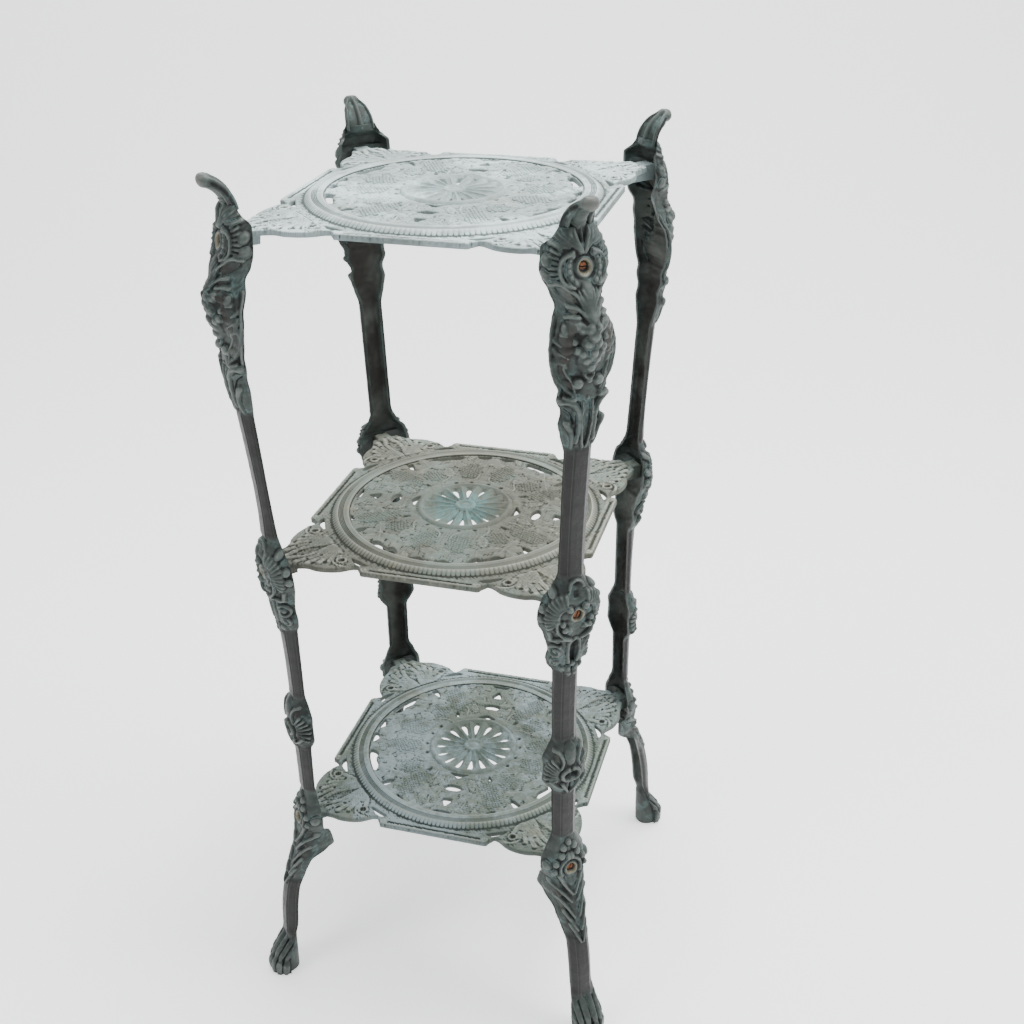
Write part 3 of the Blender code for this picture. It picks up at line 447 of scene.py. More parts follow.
class Socket:
    """A shader value that takes part in Python arithmetic."""

    def __init__(self, shader, socket):
        self.shader = shader
        self.socket = socket

    def maths(self, operation, *others):
        return self.shader.node("ShaderNodeMath", {"operation": operation}, self, *others)

    def __add__(self, other):
        return self.maths("ADD", other)

    __radd__ = __add__

    def __sub__(self, other):
        return self.maths("SUBTRACT", other)

    def __rsub__(self, other):
        return self.shader.node("ShaderNodeMath", {"operation": "SUBTRACT"}, other, self)

    def __mul__(self, other):
        return self.maths("MULTIPLY", other)

    __rmul__ = __mul__

    def clamp(self):
        return self.shader.node("ShaderNodeClamp", {}, self)

    def between(self, low, high):
        """0 below low, 1 above high, smooth between."""
        smooth = {"interpolation_type": "SMOOTHSTEP"}
        return self.shader.node("ShaderNodeMapRange", smooth, self, low, high, 0.0, 1.0)


class Shader:
    """One material's node tree."""

    def __init__(self, name):
        self.material = bpy.data.materials.new(name)
        self.material.use_nodes = True
        self.tree = self.material.node_tree
        self.surface = self.tree.nodes["Principled BSDF"]

    def node(self, kind, settings, *values, output=0, **named):
        node = self.tree.nodes.new(kind)
        for key, value in settings.items():
            setattr(node, key, value)
        for key, value in [*enumerate(values), *named.items()]:
            if value is None:
                continue
            socket = node.inputs[key.replace("_", " ") if isinstance(key, str) else key]
            self.feed(socket, value)
        return Socket(self, node.outputs[output])

    def feed(self, socket, value):
        if isinstance(value, Socket):
            self.tree.links.new(value.socket, socket)
        else:
            socket.default_value = value

    def place(self):
        return self.node("ShaderNodeTexCoord", {}, output="Object")

    def noise(self, scale, detail=4.0, roughness=0.6, warp=0.0):
        return self.node("ShaderNodeTexNoise", {}, Vector=self.place(), Scale=scale, Detail=detail,
                         Roughness=roughness, Distortion=warp)

    def axis_distance(self):
        """Distance from the stand's upright axis."""
        flat = self.node("ShaderNodeVectorMath", {"operation": "MULTIPLY"}, self.place(), (1.0, 1.0, 0.0))
        return self.node("ShaderNodeVectorMath", {"operation": "LENGTH"}, flat, output="Value")

    def cells(self, scale):
        return self.node("ShaderNodeTexVoronoi", {"feature": "F1"}, Vector=self.place(), Scale=scale)

    def mark(self, name):
        return self.node("ShaderNodeAttribute", {"attribute_name": name}, output="Fac")

    def mix(self, share, first, second):
        node = self.tree.nodes.new("ShaderNodeMix")
        node.data_type = "RGBA"
        self.feed(node.inputs["Factor"], share)
        for number, value in zip(MIX_INPUTS, (first, second)):
            self.feed(node.inputs[number], value if isinstance(value, Socket) else (*value, 1.0))
        return Socket(self, node.outputs[MIX_OUTPUT])

    def bump(self, height, strength, distance):
        return self.node("ShaderNodeBump", {}, Strength=strength, Distance=distance, Height=height,
                         output="Normal")

    def finish(self, colour, roughness, metallic, normal, specular=0.5):
        self.feed(self.surface.inputs["Base Color"], colour)
        self.feed(self.surface.inputs["Roughness"], roughness)
        self.feed(self.surface.inputs["Metallic"], metallic)
        self.feed(self.surface.inputs["Normal"], normal)
        self.surface.inputs["Specular IOR Level"].default_value = specular
        return self.material


# Colours of a shelf's body, worn edges that also carry painted highlight, grime that also serves as painted
# shade in the hollows, bloom and warm stains; heart is the rosette's own bloom
SHELF_FINISHES = {
    "top": {"base": (0.29, 0.355, 0.345), "pale": (0.56, 0.62, 0.60), "deep": (0.045, 0.062, 0.056),
            "bloom": (0.55, 0.66, 0.67), "warm": (0.34, 0.35, 0.30),
            "bloom_share": 0.85, "warm_share": 0.4, "heart_share": 0.0},
    "middle": {"base": (0.180, 0.188, 0.150), "pale": (0.42, 0.42, 0.355), "deep": (0.032, 0.034, 0.026),
               "bloom": (0.27, 0.36, 0.33), "warm": (0.25, 0.225, 0.155),
               "bloom_share": 0.45, "warm_share": 0.8, "heart_share": 0.8},
    "bottom": {"base": (0.150, 0.182, 0.152), "pale": (0.34, 0.375, 0.325), "deep": (0.028, 0.038, 0.032),
               "bloom": (0.36, 0.45, 0.48), "warm": (0.18, 0.18, 0.13),
               "bloom_share": 0.65, "warm_share": 0.7, "heart_share": 0.15},
}
ROSETTE_BLOOM = (0.20, 0.37, 0.36)
LEG_DARK, LEG_LIGHT, LEG_SHADE = (0.019, 0.025, 0.022), (0.045, 0.057, 0.051), (0.024, 0.027, 0.025)
COLUMN_DARK, COLUMN_WORN = (0.0062, 0.0060, 0.0052), (0.0165, 0.0165, 0.0145)
LEG_BLOOM, VERDIGRIS = (0.054, 0.084, 0.077), (0.11, 0.180, 0.168)
# First: painted shade for the carving's hollows; then random dark specks; last: pale wear that also serves as
# painted highlight on the crests.
HOLLOW_SHADE, SPECK, WORN_EDGE_HIGHLIGHT = (0.006, 0.007, 0.0065), (0.012, 0.014, 0.012), (0.185, 0.215, 0.195)
CHANNEL_DARK, CHANNEL_DUST = (0.018, 0.0165, 0.014), (0.075, 0.082, 0.072)
TIP_WEAR, COLLAR_WEAR = (0.105, 0.102, 0.090), (0.24, 0.215, 0.15)
RUST, DARK_RUST, RUST_FLAKE = (0.25, 0.088, 0.034), (0.085, 0.036, 0.020), (0.38, 0.20, 0.09)


def shelf_patina(name, base, pale, deep, bloom, bloom_share, warm, warm_share, heart_share):
    """Weathered casting: dull body, grime spots, painted shade in the hollows, pale worn edges with painted
    highlight and chalky bloom.
    """
    shader = Shader(name)
    hollow = shader.mark("hollow")
    crest = shader.mark("crest")
    broad = shader.noise(9.0, 3.0, 0.55, 0.6)
    fine = shader.noise(120.0, 5.0, 0.7)
    grain = shader.noise(620.0, 3.0, 0.7)
    body = shader.mix(fine.between(0.32, 0.72), base, tuple(0.72 * c for c in base))
    stain = shader.noise(21.0, 4.0, 0.6, 0.8).between(0.55, 0.75)
    colour = shader.mix((stain * warm_share).clamp(), body, warm)
    chalk = (broad * 0.75 + fine * 0.45).between(0.54, 0.72)
    colour = shader.mix((chalk * bloom_share).clamp(), colour, bloom)
    dark = shader.noise(34.0, 5.0, 0.65, 0.4).between(0.56, 0.70) * fine.between(0.40, 0.60)
    colour = shader.mix(dark * 0.55, colour, tuple(1.6 * c for c in deep))
    middle = 1 - shader.axis_distance().between(0.020, 0.047)
    heart = middle * broad.between(0.34, 0.56) * fine.between(0.30, 0.60)
    colour = shader.mix((heart * heart_share).clamp(), colour, ROSETTE_BLOOM)
    # Wear with painted highlight: the crests are lightened towards the pale colour.
    colour = shader.mix((crest.between(0.10, 0.90) * (0.30 + grain * 0.8)).clamp(), colour, pale)
    # Painted shade: the hollows are darkened towards the deep colour.
    colour = shader.mix((hollow.between(0.06, 0.60) * (0.65 + fine * 0.6)).clamp(), colour, deep)
    colour = shader.mix(grain.between(0.62, 0.80) * 0.35, colour, tuple(0.6 * c for c in deep))
    roughness = (0.62 + fine * 0.22 + hollow * 0.1).clamp()
    normal = shader.bump(grain * 0.5 + fine * 0.8 + shader.cells(430.0) * 0.35, 0.55, 0.0006)
    return shader.finish(colour, roughness, 0.12, normal, 0.35)


def leg_patina():
    """Dark grey-green casting: verdigris and painted shade in the carving, worn edges with painted highlight,
    dark columns and channel.
    """
    shader = Shader("leg_patina")
    hollow, crest = shader.mark("hollow"), shader.mark("crest")
    column, inside = shader.mark("column"), shader.mark("inside")
    collar, tip = shader.mark("collar"), shader.mark("tip")
    broad = shader.noise(14.0, 3.0, 0.55, 0.5)
    patch = shader.noise(48.0, 4.0, 0.6, 0.7)
    fine = shader.noise(170.0, 5.0, 0.7)
    grain = shader.noise(760.0, 3.0, 0.7)
    body = shader.mix(broad.between(0.36, 0.66), LEG_DARK, LEG_LIGHT)
    body = shader.mix(patch.between(0.52, 0.70) * 0.6, body, LEG_SHADE)
    colour = shader.mix((column * 0.9).clamp(), body, COLUMN_DARK)
    colour = shader.mix((column * patch.between(0.50, 0.68) * 0.5).clamp(), colour, COLUMN_WORN)
    bloom = patch.between(0.44, 0.60) * (1 - column) * (1 - broad.between(0.42, 0.60))
    colour = shader.mix((bloom * 0.25).clamp(), colour, LEG_BLOOM)
    green = hollow.between(0.02, 0.40) * patch.between(0.46, 0.62) * fine.between(0.30, 0.56)
    colour = shader.mix((green * (1 - column * 0.85)).clamp() * 0.55, colour, VERDIGRIS)
    # Painted shade: the deepest hollows of the carving are darkened almost to black.
    hollow_shade = hollow.between(0.30, 0.85) * (1 - fine.between(0.50, 0.66) * 0.4)
    colour = shader.mix(hollow_shade.clamp(), colour, HOLLOW_SHADE)
    # Wear with painted highlight: the crests, column edges and channel lips are lightened towards pale
    # grey-green.
    lightened = crest.between(0.15, 0.95) * (0.35 + grain * 0.7)
    colour = shader.mix(lightened.clamp() * 0.52, colour, WORN_EDGE_HIGHLIGHT)
    colour = shader.mix(grain.between(0.64, 0.80) * 0.4, colour, SPECK)
    channel = shader.mix(broad.between(0.40, 0.64), CHANNEL_DARK, CHANNEL_DUST)
    colour = shader.mix((inside * 1.3).clamp(), colour, channel)
    colour = shader.mix((tip * fine.between(0.20, 0.46)).clamp() * 0.55, colour, TIP_WEAR)
    colour = shader.mix((collar * (0.4 + grain)).clamp() * 0.8, colour, COLLAR_WEAR)
    roughness = (0.34 + fine * 0.24 + hollow * 0.3 + inside * 0.2).clamp()
    metallic = (0.22 + collar * 0.3 - hollow * 0.2 - inside * 0.2 - tip * 0.2).clamp()
    normal = shader.bump(grain * 0.45 + fine * 0.9, 0.6, 0.0007)
    return shader.finish(colour, roughness, metallic, normal, 0.30)


def screw_rust():
    shader = Shader("screw_rust")
    flake = shader.noise(900.0, 5.0, 0.7)
    stain = shader.noise(260.0, 3.0, 0.6, 1.0)
    colour = shader.mix(stain.between(0.35, 0.65), RUST, DARK_RUST)
    colour = shader.mix(flake.between(0.58, 0.72), colour, RUST_FLAKE)
    normal = shader.bump(flake, 0.8, 0.0005)
    return shader.finish(colour, (0.66 + flake * 0.3).clamp(), 0.25, normal)


# Geometry Nodes: copies of one form on marked points

def copies_tree():
    """Sets a copy of a form on every point, turned and sized by the point's own marks."""
    tree = bpy.data.node_groups.new("copies_on_points", "GeometryNodeTree")
    tree.interface.new_socket("Points", in_out="INPUT", socket_type="NodeSocketGeometry")
    form = tree.interface.new_socket("Form", in_out="INPUT", socket_type="NodeSocketObject")
    finish = tree.interface.new_socket("Finish", in_out="INPUT", socket_type="NodeSocketMaterial")
    tree.interface.new_socket("Geometry", in_out="OUTPUT", socket_type="NodeSocketGeometry")
    nodes, links = tree.nodes, tree.links
    start, end = nodes.new("NodeGroupInput"), nodes.new("NodeGroupOutput")
    source = nodes.new("GeometryNodeObjectInfo")
    to_points = nodes.new("GeometryNodeMeshToPoints")
    placed = nodes.new("GeometryNodeInstanceOnPoints")
    realized = nodes.new("GeometryNodeRealizeInstances")
    coloured = nodes.new("GeometryNodeSetMaterial")
    turn, size = nodes.new("GeometryNodeInputNamedAttribute"), nodes.new("GeometryNodeInputNamedAttribute")
    for node, mark in ((turn, "turn"), (size, "size")):
        node.data_type = "FLOAT_VECTOR"
        node.inputs["Name"].default_value = mark
    links.new(start.outputs["Points"], to_points.inputs["Mesh"])
    links.new(start.outputs["Form"], source.inputs["Object"])
    links.new(to_points.outputs["Points"], placed.inputs["Points"])
    links.new(source.outputs["Geometry"], placed.inputs["Instance"])
    links.new(turn.outputs["Attribute"], placed.inputs["Rotation"])
    links.new(size.outputs["Attribute"], placed.inputs["Scale"])
    links.new(placed.outputs["Instances"], realized.inputs["Geometry"])
    links.new(realized.outputs["Geometry"], coloured.inputs["Geometry"])
    links.new(start.outputs["Finish"], coloured.inputs["Material"])
    links.new(coloured.outputs["Geometry"], end.inputs["Geometry"])
    return tree, form.identifier, finish.identifier


COPIES_TREE = copies_tree()


def copies(name, form, places, turns, sizes, material):
    """A plain mesh of copies of a form; turns are angles about X, Y and Z."""
    tree, form_key, finish_key = COPIES_TREE
    mesh = bpy.data.meshes.new(name)
    mesh.from_pydata([tuple(place) for place in places], [], [])
    for mark, values in (("turn", turns), ("size", sizes)):
        attribute = mesh.attributes.new(mark, "FLOAT_VECTOR", "POINT")
        attribute.data.foreach_set("vector", np.asarray(values, np.float32).ravel())
    item = bpy.data.objects.new(name, mesh)
    bpy.context.scene.collection.objects.link(item)
    modifier = item.modifiers.new("copies", "NODES")
    modifier.node_group = tree
    modifier[form_key] = form
    modifier[finish_key] = material
    result = bpy.data.meshes.new_from_object(item.evaluated_get(bpy.context.evaluated_depsgraph_get()))
    item.modifiers.clear()
    item.data = result
    return item


# Shelves

def quarter_openings():
    """The field's piercings in one quarter, as outlines in metres."""
    loops = []
    for shares in (INNER_CRESCENT_SHARES, OVAL_SHARES, DROP_SHARES, RIM_CRESCENT_SHARES):
        whole = list(shares) + [(-x, y) for x, y in reversed(shares[1:-1])]
        loops.append(rounded(whole) * FIELD_RADIUS)
    loops += [rounded(shares) * FIELD_RADIUS for shares in QUARTER_SHARES]
    return loops


OPENINGS = quarter_openings()


def field_metal(x, y):
    """Distance into the metal of the field, below zero in its piercings."""
    x, y = np.abs(x), np.abs(y)
    metal = np.full(x.shape, 0.02)
    for loop in OPENINGS:
        low, high = loop.min(0) - 0.006, loop.max(0) + 0.006
        spot = np.nonzero((x > low[0]) & (x < high[0]) & (y > low[1]) & (y < high[1]))
        metal[spot] = np.minimum(metal[spot], -signed_distance(x[spot], y[spot], loop))
    return metal


def polar_points(radii, count):
    angles = np.arange(count) * math.tau / count
    radius, angle = np.meshgrid(radii, angles, indexing="ij")
    return radius, angle, radius * np.cos(angle), radius * np.sin(angle)


def soft_edge(metal, depth, width):
    """How far the surface rounds down towards a cut edge."""
    return depth * np.clip(1 - metal / width, 0, 1) ** 2


PEBBLE_PITCH = 0.0037
CLOSE_ROW_SHARE = 0.87
ROUND_STEPS = 736

# Grape bunches: middle, half length and half width as shares of the field's radius, and turn in degrees
GRAPE_BUNCHES = (((0.372, 0.668), 0.205, 0.098, 62.0), ((0.660, 0.150), 0.150, 0.105, 6.0),
                 ((0.478, 0.440), 0.105, 0.080, 40.0))


def field_relief(x, y):
    """Vine leaves, tendrils and the beds of the grapes over one quarter, mirrored to the others."""
    relief = Relief(np.abs(x) / FIELD_RADIUS, np.abs(y) / FIELD_RADIUS, 1.3)
    unit = 1 / FIELD_RADIUS
    for centre, long, wide, turn in GRAPE_BUNCHES:
        relief.dome(centre, long, wide, 0.0007, turn, 0.35)
    relief.vine_leaf((0.640, 0.545), 0.200, 44.0, 0.0017)
    relief.vine_leaf((0.215, 0.705), 0.165, 78.0, 0.0016)
    relief.vine_leaf((0.735, 0.330), 0.135, 14.0, 0.0016, 3)
    relief.vine_leaf((0.820, 0.010), 0.140, 0.0, 0.0016, 3)
    relief.vine_leaf((0.545, 0.800), 0.120, 58.0, 0.0015, 3)
    relief.leaf((0.500, 0.300), 0.190, 0.110, 24.0, 0.0014)
    relief.leaf((0.130, 0.505), 0.160, 0.080, 66.0, 0.0014)
    relief.leaf((0.285, 0.885), 0.120, 0.070, 80.0, 0.0013)
    relief.leaf((0.880, 0.250), 0.110, 0.060, -30.0, 0.0013)
    relief.leaf((0.700, 0.620), 0.190, 0.080, 36.0, 0.0015)
    relief.leaf((0.100, 0.900), 0.120, 0.060, 30.0, 0.0012)
    width = 2.2e-3 * unit
    for path in (curve((0.30, 0.30), (0.40, 0.33), (0.50, 0.30), (0.58, 0.33)),
                 curve((0.20, 0.42), (0.22, 0.54), (0.28, 0.60)),
                 curve((0.46, 0.12), (0.52, 0.06), (0.62, 0.05)),
                 curve((0.10, 0.70), (0.12, 0.76), (0.17, 0.80), (0.16, 0.90)),
                 curve((0.52, 0.60), (0.56, 0.56), (0.60, 0.50))):
        relief.ridge(path, width, 0.0013, width * 0.6)
    radius = np.hypot(relief.x, relief.y)
    angle = np.arctan2(relief.y, relief.x)
    petals = 0.0011 * np.clip(1 - ((radius - 0.462) / 0.040) ** 2, 0, 1)
    petals = petals * (0.45 + 0.55 * np.abs(np.sin(angle * 12)))
    relief.height = np.maximum(relief.height, petals)
    rim = 0.0009 * np.clip(1 - ((radius - 0.985) / 0.016) ** 2, 0, 1)
    relief.height = np.maximum(relief.height, rim)
    bare = np.clip(1 - relief.height / 0.0009, 0.15, 1)
    waves = 0.00016 * soft_noise(x, y, 0.0060, SEED) + 0.00008 * soft_noise(x, y, 0.0019, SEED + 1)
    return 0.85 * relief.height - 0.0004 + 0.00042 * bare * pebbles(x, y) + waves


def pebbles(x, y):
    """Close rows of small round pebbles, 0 to 1."""
    x = x + 0.0005 * soft_noise(x, y, 0.011, SEED + 8)
    y = y + 0.0005 * soft_noise(x, y, 0.013, SEED + 9)
    row = np.round(y / (PEBBLE_PITCH * CLOSE_ROW_SHARE))
    along = x / PEBBLE_PITCH - 0.5 * (row % 2)
    off_x, off_y = (along - np.round(along)) * PEBBLE_PITCH, y - row * PEBBLE_PITCH * CLOSE_ROW_SHARE
    return np.sqrt(np.clip(1 - (off_x ** 2 + off_y ** 2) / (PEBBLE_PITCH * 0.52) ** 2, 0, 1))


def marks_from(height, wrap, scale, passes):
    """Hollow and crest shares of a height grid, for the patina, the painted shade in the hollows and the
    painted highlight on the crests.
    """
    around = blurred(height, passes, wrap)
    return np.clip((around - height) / scale, 0, 1), np.clip((height - around) / scale, 0, 1)


def shelf_sheet(name, shelf, radii, count, metal, height, under, extra, material):
    """One closed piece of a shelf, on rings of points round its middle."""
    radius, angle, x, y = polar_points(radii, count)
    pattern_x, pattern_y = (y, x) if shelf == "middle" else (x, y)
    amount = metal(pattern_x, pattern_y)
    level = height(pattern_x, pattern_y, radius, angle)
    hollow, crest = marks_from(level, True, 0.00085, 8)
    broad_hollow, broad_crest = marks_from(level, True, 0.0022, 50)
    hollow, crest = np.clip(hollow + 0.4 * broad_hollow, 0, 1), np.clip(crest + 0.4 * broad_crest, 0, 1)
    # Painted shade: the metal close to each cut edge counts as hollow, so it is darkened.
    edge = np.clip(1 - amount / 0.0018, 0, 1)
    hollow = np.maximum(hollow, edge * 0.42)
    values = np.column_stack([level.ravel(), hollow.ravel(), crest.ravel(), amount.ravel()])
    points = np.column_stack([x.ravel(), y.ravel()])
    faces = ring_faces(len(radii), count)
    points, values, faces = trim(points, values, faces, amount.ravel())
    faces = faces[:, ::-1]
    depth = values[:, 0] - soft_edge(values[:, 3], 0.0009, 0.0014)
    top = np.column_stack([points, SHELF_HEIGHTS[shelf] + depth])
    solid, triangles, used = closed_plate(top, faces, lambda u, v: SHELF_HEIGHTS[shelf] - under(u, v), extra)
    marks = {}
    for column, mark in ((1, "hollow"), (2, "crest")):
        # Points of the walls and underside start at a hollow share of 0.35: painted shade on them.
        full = np.full(int(used.max()) + 1, 0.35 if column == 1 else 0.0)
        full[:len(values)] = values[:, column]
        marks[mark] = full[used]
    return mesh_object(name, solid, triangles, marks, material)


def field_piece(shelf, material):
    steps = int((FIELD_RADIUS - ROSETTE_RADIUS) / 0.00085)
    radii = np.linspace(ROSETTE_RADIUS, FIELD_RADIUS, steps)

    def height(x, y, radius, angle):
        return field_relief(x, y) - FIELD_DROP

    def under(x, y):
        return np.full(np.shape(x), FIELD_DROP + FIELD_THICKNESS)

    name = "shelf_" + shelf + "_field"
    return shelf_sheet(name, shelf, radii, ROUND_STEPS, field_metal, height, under, [], material)


def corner_fold(x, y):
    """Distance along a side and out from it, in the eighth of the square that repeats."""
    x, y = np.abs(x), np.abs(y)
    return np.minimum(x, y), np.maximum(x, y)


def diagonal_point(along, across):
    return (along - across) / math.sqrt(2), (along + across) / math.sqrt(2)


def rim_outline(panel_end, boss_end):
    """Outline of an eighth of the shelf, from the middle of a bar to the corner and the shelf's middle."""
    reach, end = BAR_REACH, BAR_HALF_LENGTH
    outline = [(0.0, reach), (end - 0.0035, reach)]
    outline += [tuple(point) for point in arc((end - 0.0035, reach - 0.0035), 0.0035, 80, 0, 6)]
    edge = curve(*[(a * reach, b * reach) for a, b in PANEL_EDGE_SHARES],
                 diagonal_point(panel_end, PANEL_END_WIDTH / 2), count=8)
    outline += [tuple(point) for point in edge]
    outline += [diagonal_point(panel_end, BOSS_WIDTH / 2), diagonal_point(boss_end, BOSS_WIDTH / 2),
                diagonal_point(boss_end, -BOSS_WIDTH / 2), (0.0, 0.0), (-0.02, 0.0), (-0.02, reach)]
    return np.array(outline)


def rim_metal(outline):
    gap = rounded(PANEL_GAP_SHARES) * BAR_REACH
    hole = np.array(PANEL_HOLE_PLACE_SHARES) * BAR_REACH

    def metal(x, y):
        along, out = corner_fold(x, y)
        amount = signed_distance(along, out, outline)
        amount = np.minimum(amount, -signed_distance(along, out, gap))
        return np.minimum(amount, np.hypot(along - hole[0], out - hole[1]) - PANEL_HOLE_RADIUS)

    return metal


PANEL_FOLD_SHARES = ((0.47, 0.945), (0.53, 0.96), (0.60, 0.94), (0.625, 0.88), (0.60, 0.84))
PANEL_PIT_SHARES = ((0.66, 0.94), (0.72, 0.86), (0.79, 0.93), (0.84, 0.885), (0.60, 0.82), (0.74, 0.965))
PANEL_LEAF_REACH = 0.052

# Acanthus ribs of a corner panel: turn from the diagonal in degrees, and length
PANEL_LEAVES = ((0.0, 0.047), (13.0, 0.043), (27.0, 0.038), (42.0, 0.032), (58.0, 0.028), (76.0, 0.025))


def panel_relief(x, y, panel_end):
    """Acanthus on the corner panels, scrolls at the bar ends and the bars' rolled edge."""
    along, out = corner_fold(x, y)
    relief = Relief(along, out)
    reach, end = BAR_REACH, BAR_HALF_LENGTH
    hole = np.array(PANEL_HOLE_PLACE_SHARES) * reach
    relief.groove(np.array([(0.0, reach - 0.0046), (end - 0.006, reach - 0.0046)]), 0.0044, 0.0011)
    relief.ridge(np.array([(0.0, reach - 0.0012), (end - 0.004, reach - 0.0012)]), 0.0026, 0.0009)
    relief.ridge(np.array([(0.0, BAND_END + 0.0012), (end - 0.006, BAND_END + 0.0012)]), 0.0020, 0.0003)
    relief.scroll((end - 0.0042, reach - 0.0046), 0.0042, -30, 1.2, 0.0016, 0.0012)
    relief.ridge(arc(hole, PANEL_HOLE_RADIUS + 0.0013, 0, 360, 22), 0.0024, 0.0015)
    fold = np.array(PANEL_FOLD_SHARES) * reach
    relief.ridge(curve(*fold), 0.0030, 0.0012, 0.0018)
    middle = panel_end - PANEL_LEAF_REACH
    for angle, length in PANEL_LEAVES:
        turn = math.radians(45 + angle)
        start = np.array(diagonal_point(middle, 0.002 + angle * 0.00004))
        tip = start + length * np.array((math.cos(turn), math.sin(turn)))
        sweep = start + 0.55 * length * np.array((math.cos(turn + 0.22), math.sin(turn + 0.22)))
        relief.ridge(curve(start, sweep, tip), 0.0050, 0.0012, 0.0058)
        relief.groove(curve(start, sweep, tip), 0.0012, 0.0005)
    for along_share, out_share in PANEL_PIT_SHARES:
        start = (along_share * reach, out_share * reach)
        relief.groove(np.array([start, (start[0] + 0.001, start[1])]), 0.0040, 0.0011)
    return relief.height


def ring_profile():
    """Radii and heights of the ring, the band and the plate, below the shelf's top."""
    wall_end = FIELD_RADIUS + RING_WALL
    profile = [(FIELD_RADIUS, -FIELD_DROP), (wall_end, -0.0003), (wall_end + 0.0006, 0.0),
               (RING_FLAT_END, 0.0), (RING_RIDGES_END, -RING_RIDGE_DROP),
               (BAND_END, -PLATE_DROP), (BAND_END + 0.3, -PLATE_DROP)]
    return zip(*profile)


def ring_and_band(radius, angle, level):
    """Adds the ring's fine ridges and the band's reeds to a height."""
    share = (radius - RING_FLAT_END) / (RING_RIDGES_END - RING_FLAT_END)
    ridges = 0.00055 * np.cos(share * math.tau * RING_RIDGES) - 0.0005
    level = level + np.where((share > 0) & (share < 1), ridges, 0)
    share = (radius - RING_RIDGES_END) / (BAND_END - RING_RIDGES_END)
    reed = np.abs(np.sin(angle * BAND_LEAVES / 2)) ** 0.6
    reeds = 0.00055 * reed * np.clip(3 * (1 - share), 0, 1) ** 0.5 - 0.0003
    return level + np.where((share > 0.04) & (share < 1.0), reeds, 0)


def under_points(panel_end):
    """Points of the rim's underside along its step and round each boss."""
    points = [(r * math.cos(a), r * math.sin(a)) for r in (RING_FLAT_END, UNDER_STEP_END)
              for a in np.linspace(0, math.tau, 97)[:-1]]
    for sx, sy in ((-1, -1), (-1, 1), (1, -1), (1, 1)):
        for draft in (0.0, BOSS_DRAFT):
            back = panel_end - BOSS_LENGTH - draft
            foot = [(back, across) for across in np.linspace(-1, 1, 9) * (BOSS_WIDTH / 2 + draft)]
            foot += [(along, side * (BOSS_WIDTH / 2 + draft))
                     for along in np.linspace(back, panel_end - BOSS_DRAFT, 6)[1:] for side in (-1, 1)]
            points += [(sx * (along - across) / math.sqrt(2), sy * (along + across) / math.sqrt(2))
                       for along, across in foot]
    return points


def rim_piece(shelf, panel_end, boss_end, material):
    """Ring, reeded band, bars and corner panels."""
    wall_end = FIELD_RADIUS + RING_WALL
    radii = np.concatenate([[FIELD_RADIUS, wall_end], np.linspace(wall_end, RING_FLAT_END, 7)[1:],
                            np.linspace(RING_FLAT_END, RING_RIDGES_END, 4 * RING_RIDGES + 1)[1:],
                            np.linspace(RING_RIDGES_END, BAND_END, 8)[1:],
                            np.arange(BAND_END + 0.0010, boss_end + 0.006, 0.0011)])
    places, levels = ring_profile()

    def height(x, y, radius, angle):
        level = ring_and_band(radius, angle, np.interp(radius, places, levels))
        rough = 0.00016 * soft_noise(x, y, 0.0065, SEED)
        panels = panel_relief(x, y, panel_end) + rough + 0.00017 * soft_noise(x, y, 0.0031, SEED + 4)
        return level + np.where(radius > BAND_END, panels, 0)

    def under(x, y):
        radius = np.hypot(x, y)
        along = (np.abs(x) + np.abs(y)) / math.sqrt(2)
        across = np.abs(np.abs(x) - np.abs(y)) / math.sqrt(2)
        depth = np.interp(radius, [RING_FLAT_END, UNDER_STEP_END],
                          [FIELD_DROP + FIELD_THICKNESS, PLATE_DROP + PLATE_THICKNESS])
        on_boss = (across < BOSS_WIDTH / 2 + 0.0004) & (along > panel_end - BOSS_LENGTH - 0.0004)
        return np.where(on_boss, BOSS_DROP, depth)

    metal = rim_metal(rim_outline(panel_end, boss_end))
    extra = under_points(panel_end)
    name = "shelf_" + shelf + "_rim"
    return shelf_sheet(name, shelf, radii, ROUND_STEPS, metal, height, under, extra, material)


def turned(profile, sides):
    """Rings of points of a form turned about Z, from its profile of radii and heights."""
    angles = np.arange(sides) * math.tau / sides
    return np.array([[(r * math.cos(a), r * math.sin(a), z) for a in angles] for r, z in profile])


def lathe(profile, sides):
    """Points and faces of a solid form turned about Z."""
    return turned(profile, sides).reshape(-1, 3), capped_faces(len(profile), sides)


def closed_lathe(profile, sides):
    """A turned ring whose profile is a closed loop."""
    count = len(profile) * sides
    faces = ring_faces(len(profile) + 1, sides)
    faces = np.where(faces >= count, faces - count, faces)
    return turned(profile, sides).reshape(-1, 3), faces[:, ::-1]


FIELD_UNDER = -FIELD_DROP - FIELD_THICKNESS
SPOKE_CREST = -0.0014
SLOT_HALF_WIDTHS = ((SLOT_INNER_RADIUS, 0.0), (SLOT_INNER_RADIUS + 0.001, SLOT_INNER_WIDTH / 2),
                    (0.0360, SLOT_OUTER_WIDTH / 2), (SLOT_OUTER_RADIUS - 0.0006, SLOT_OUTER_WIDTH / 2.6),
                    (SLOT_OUTER_RADIUS, 0.0))


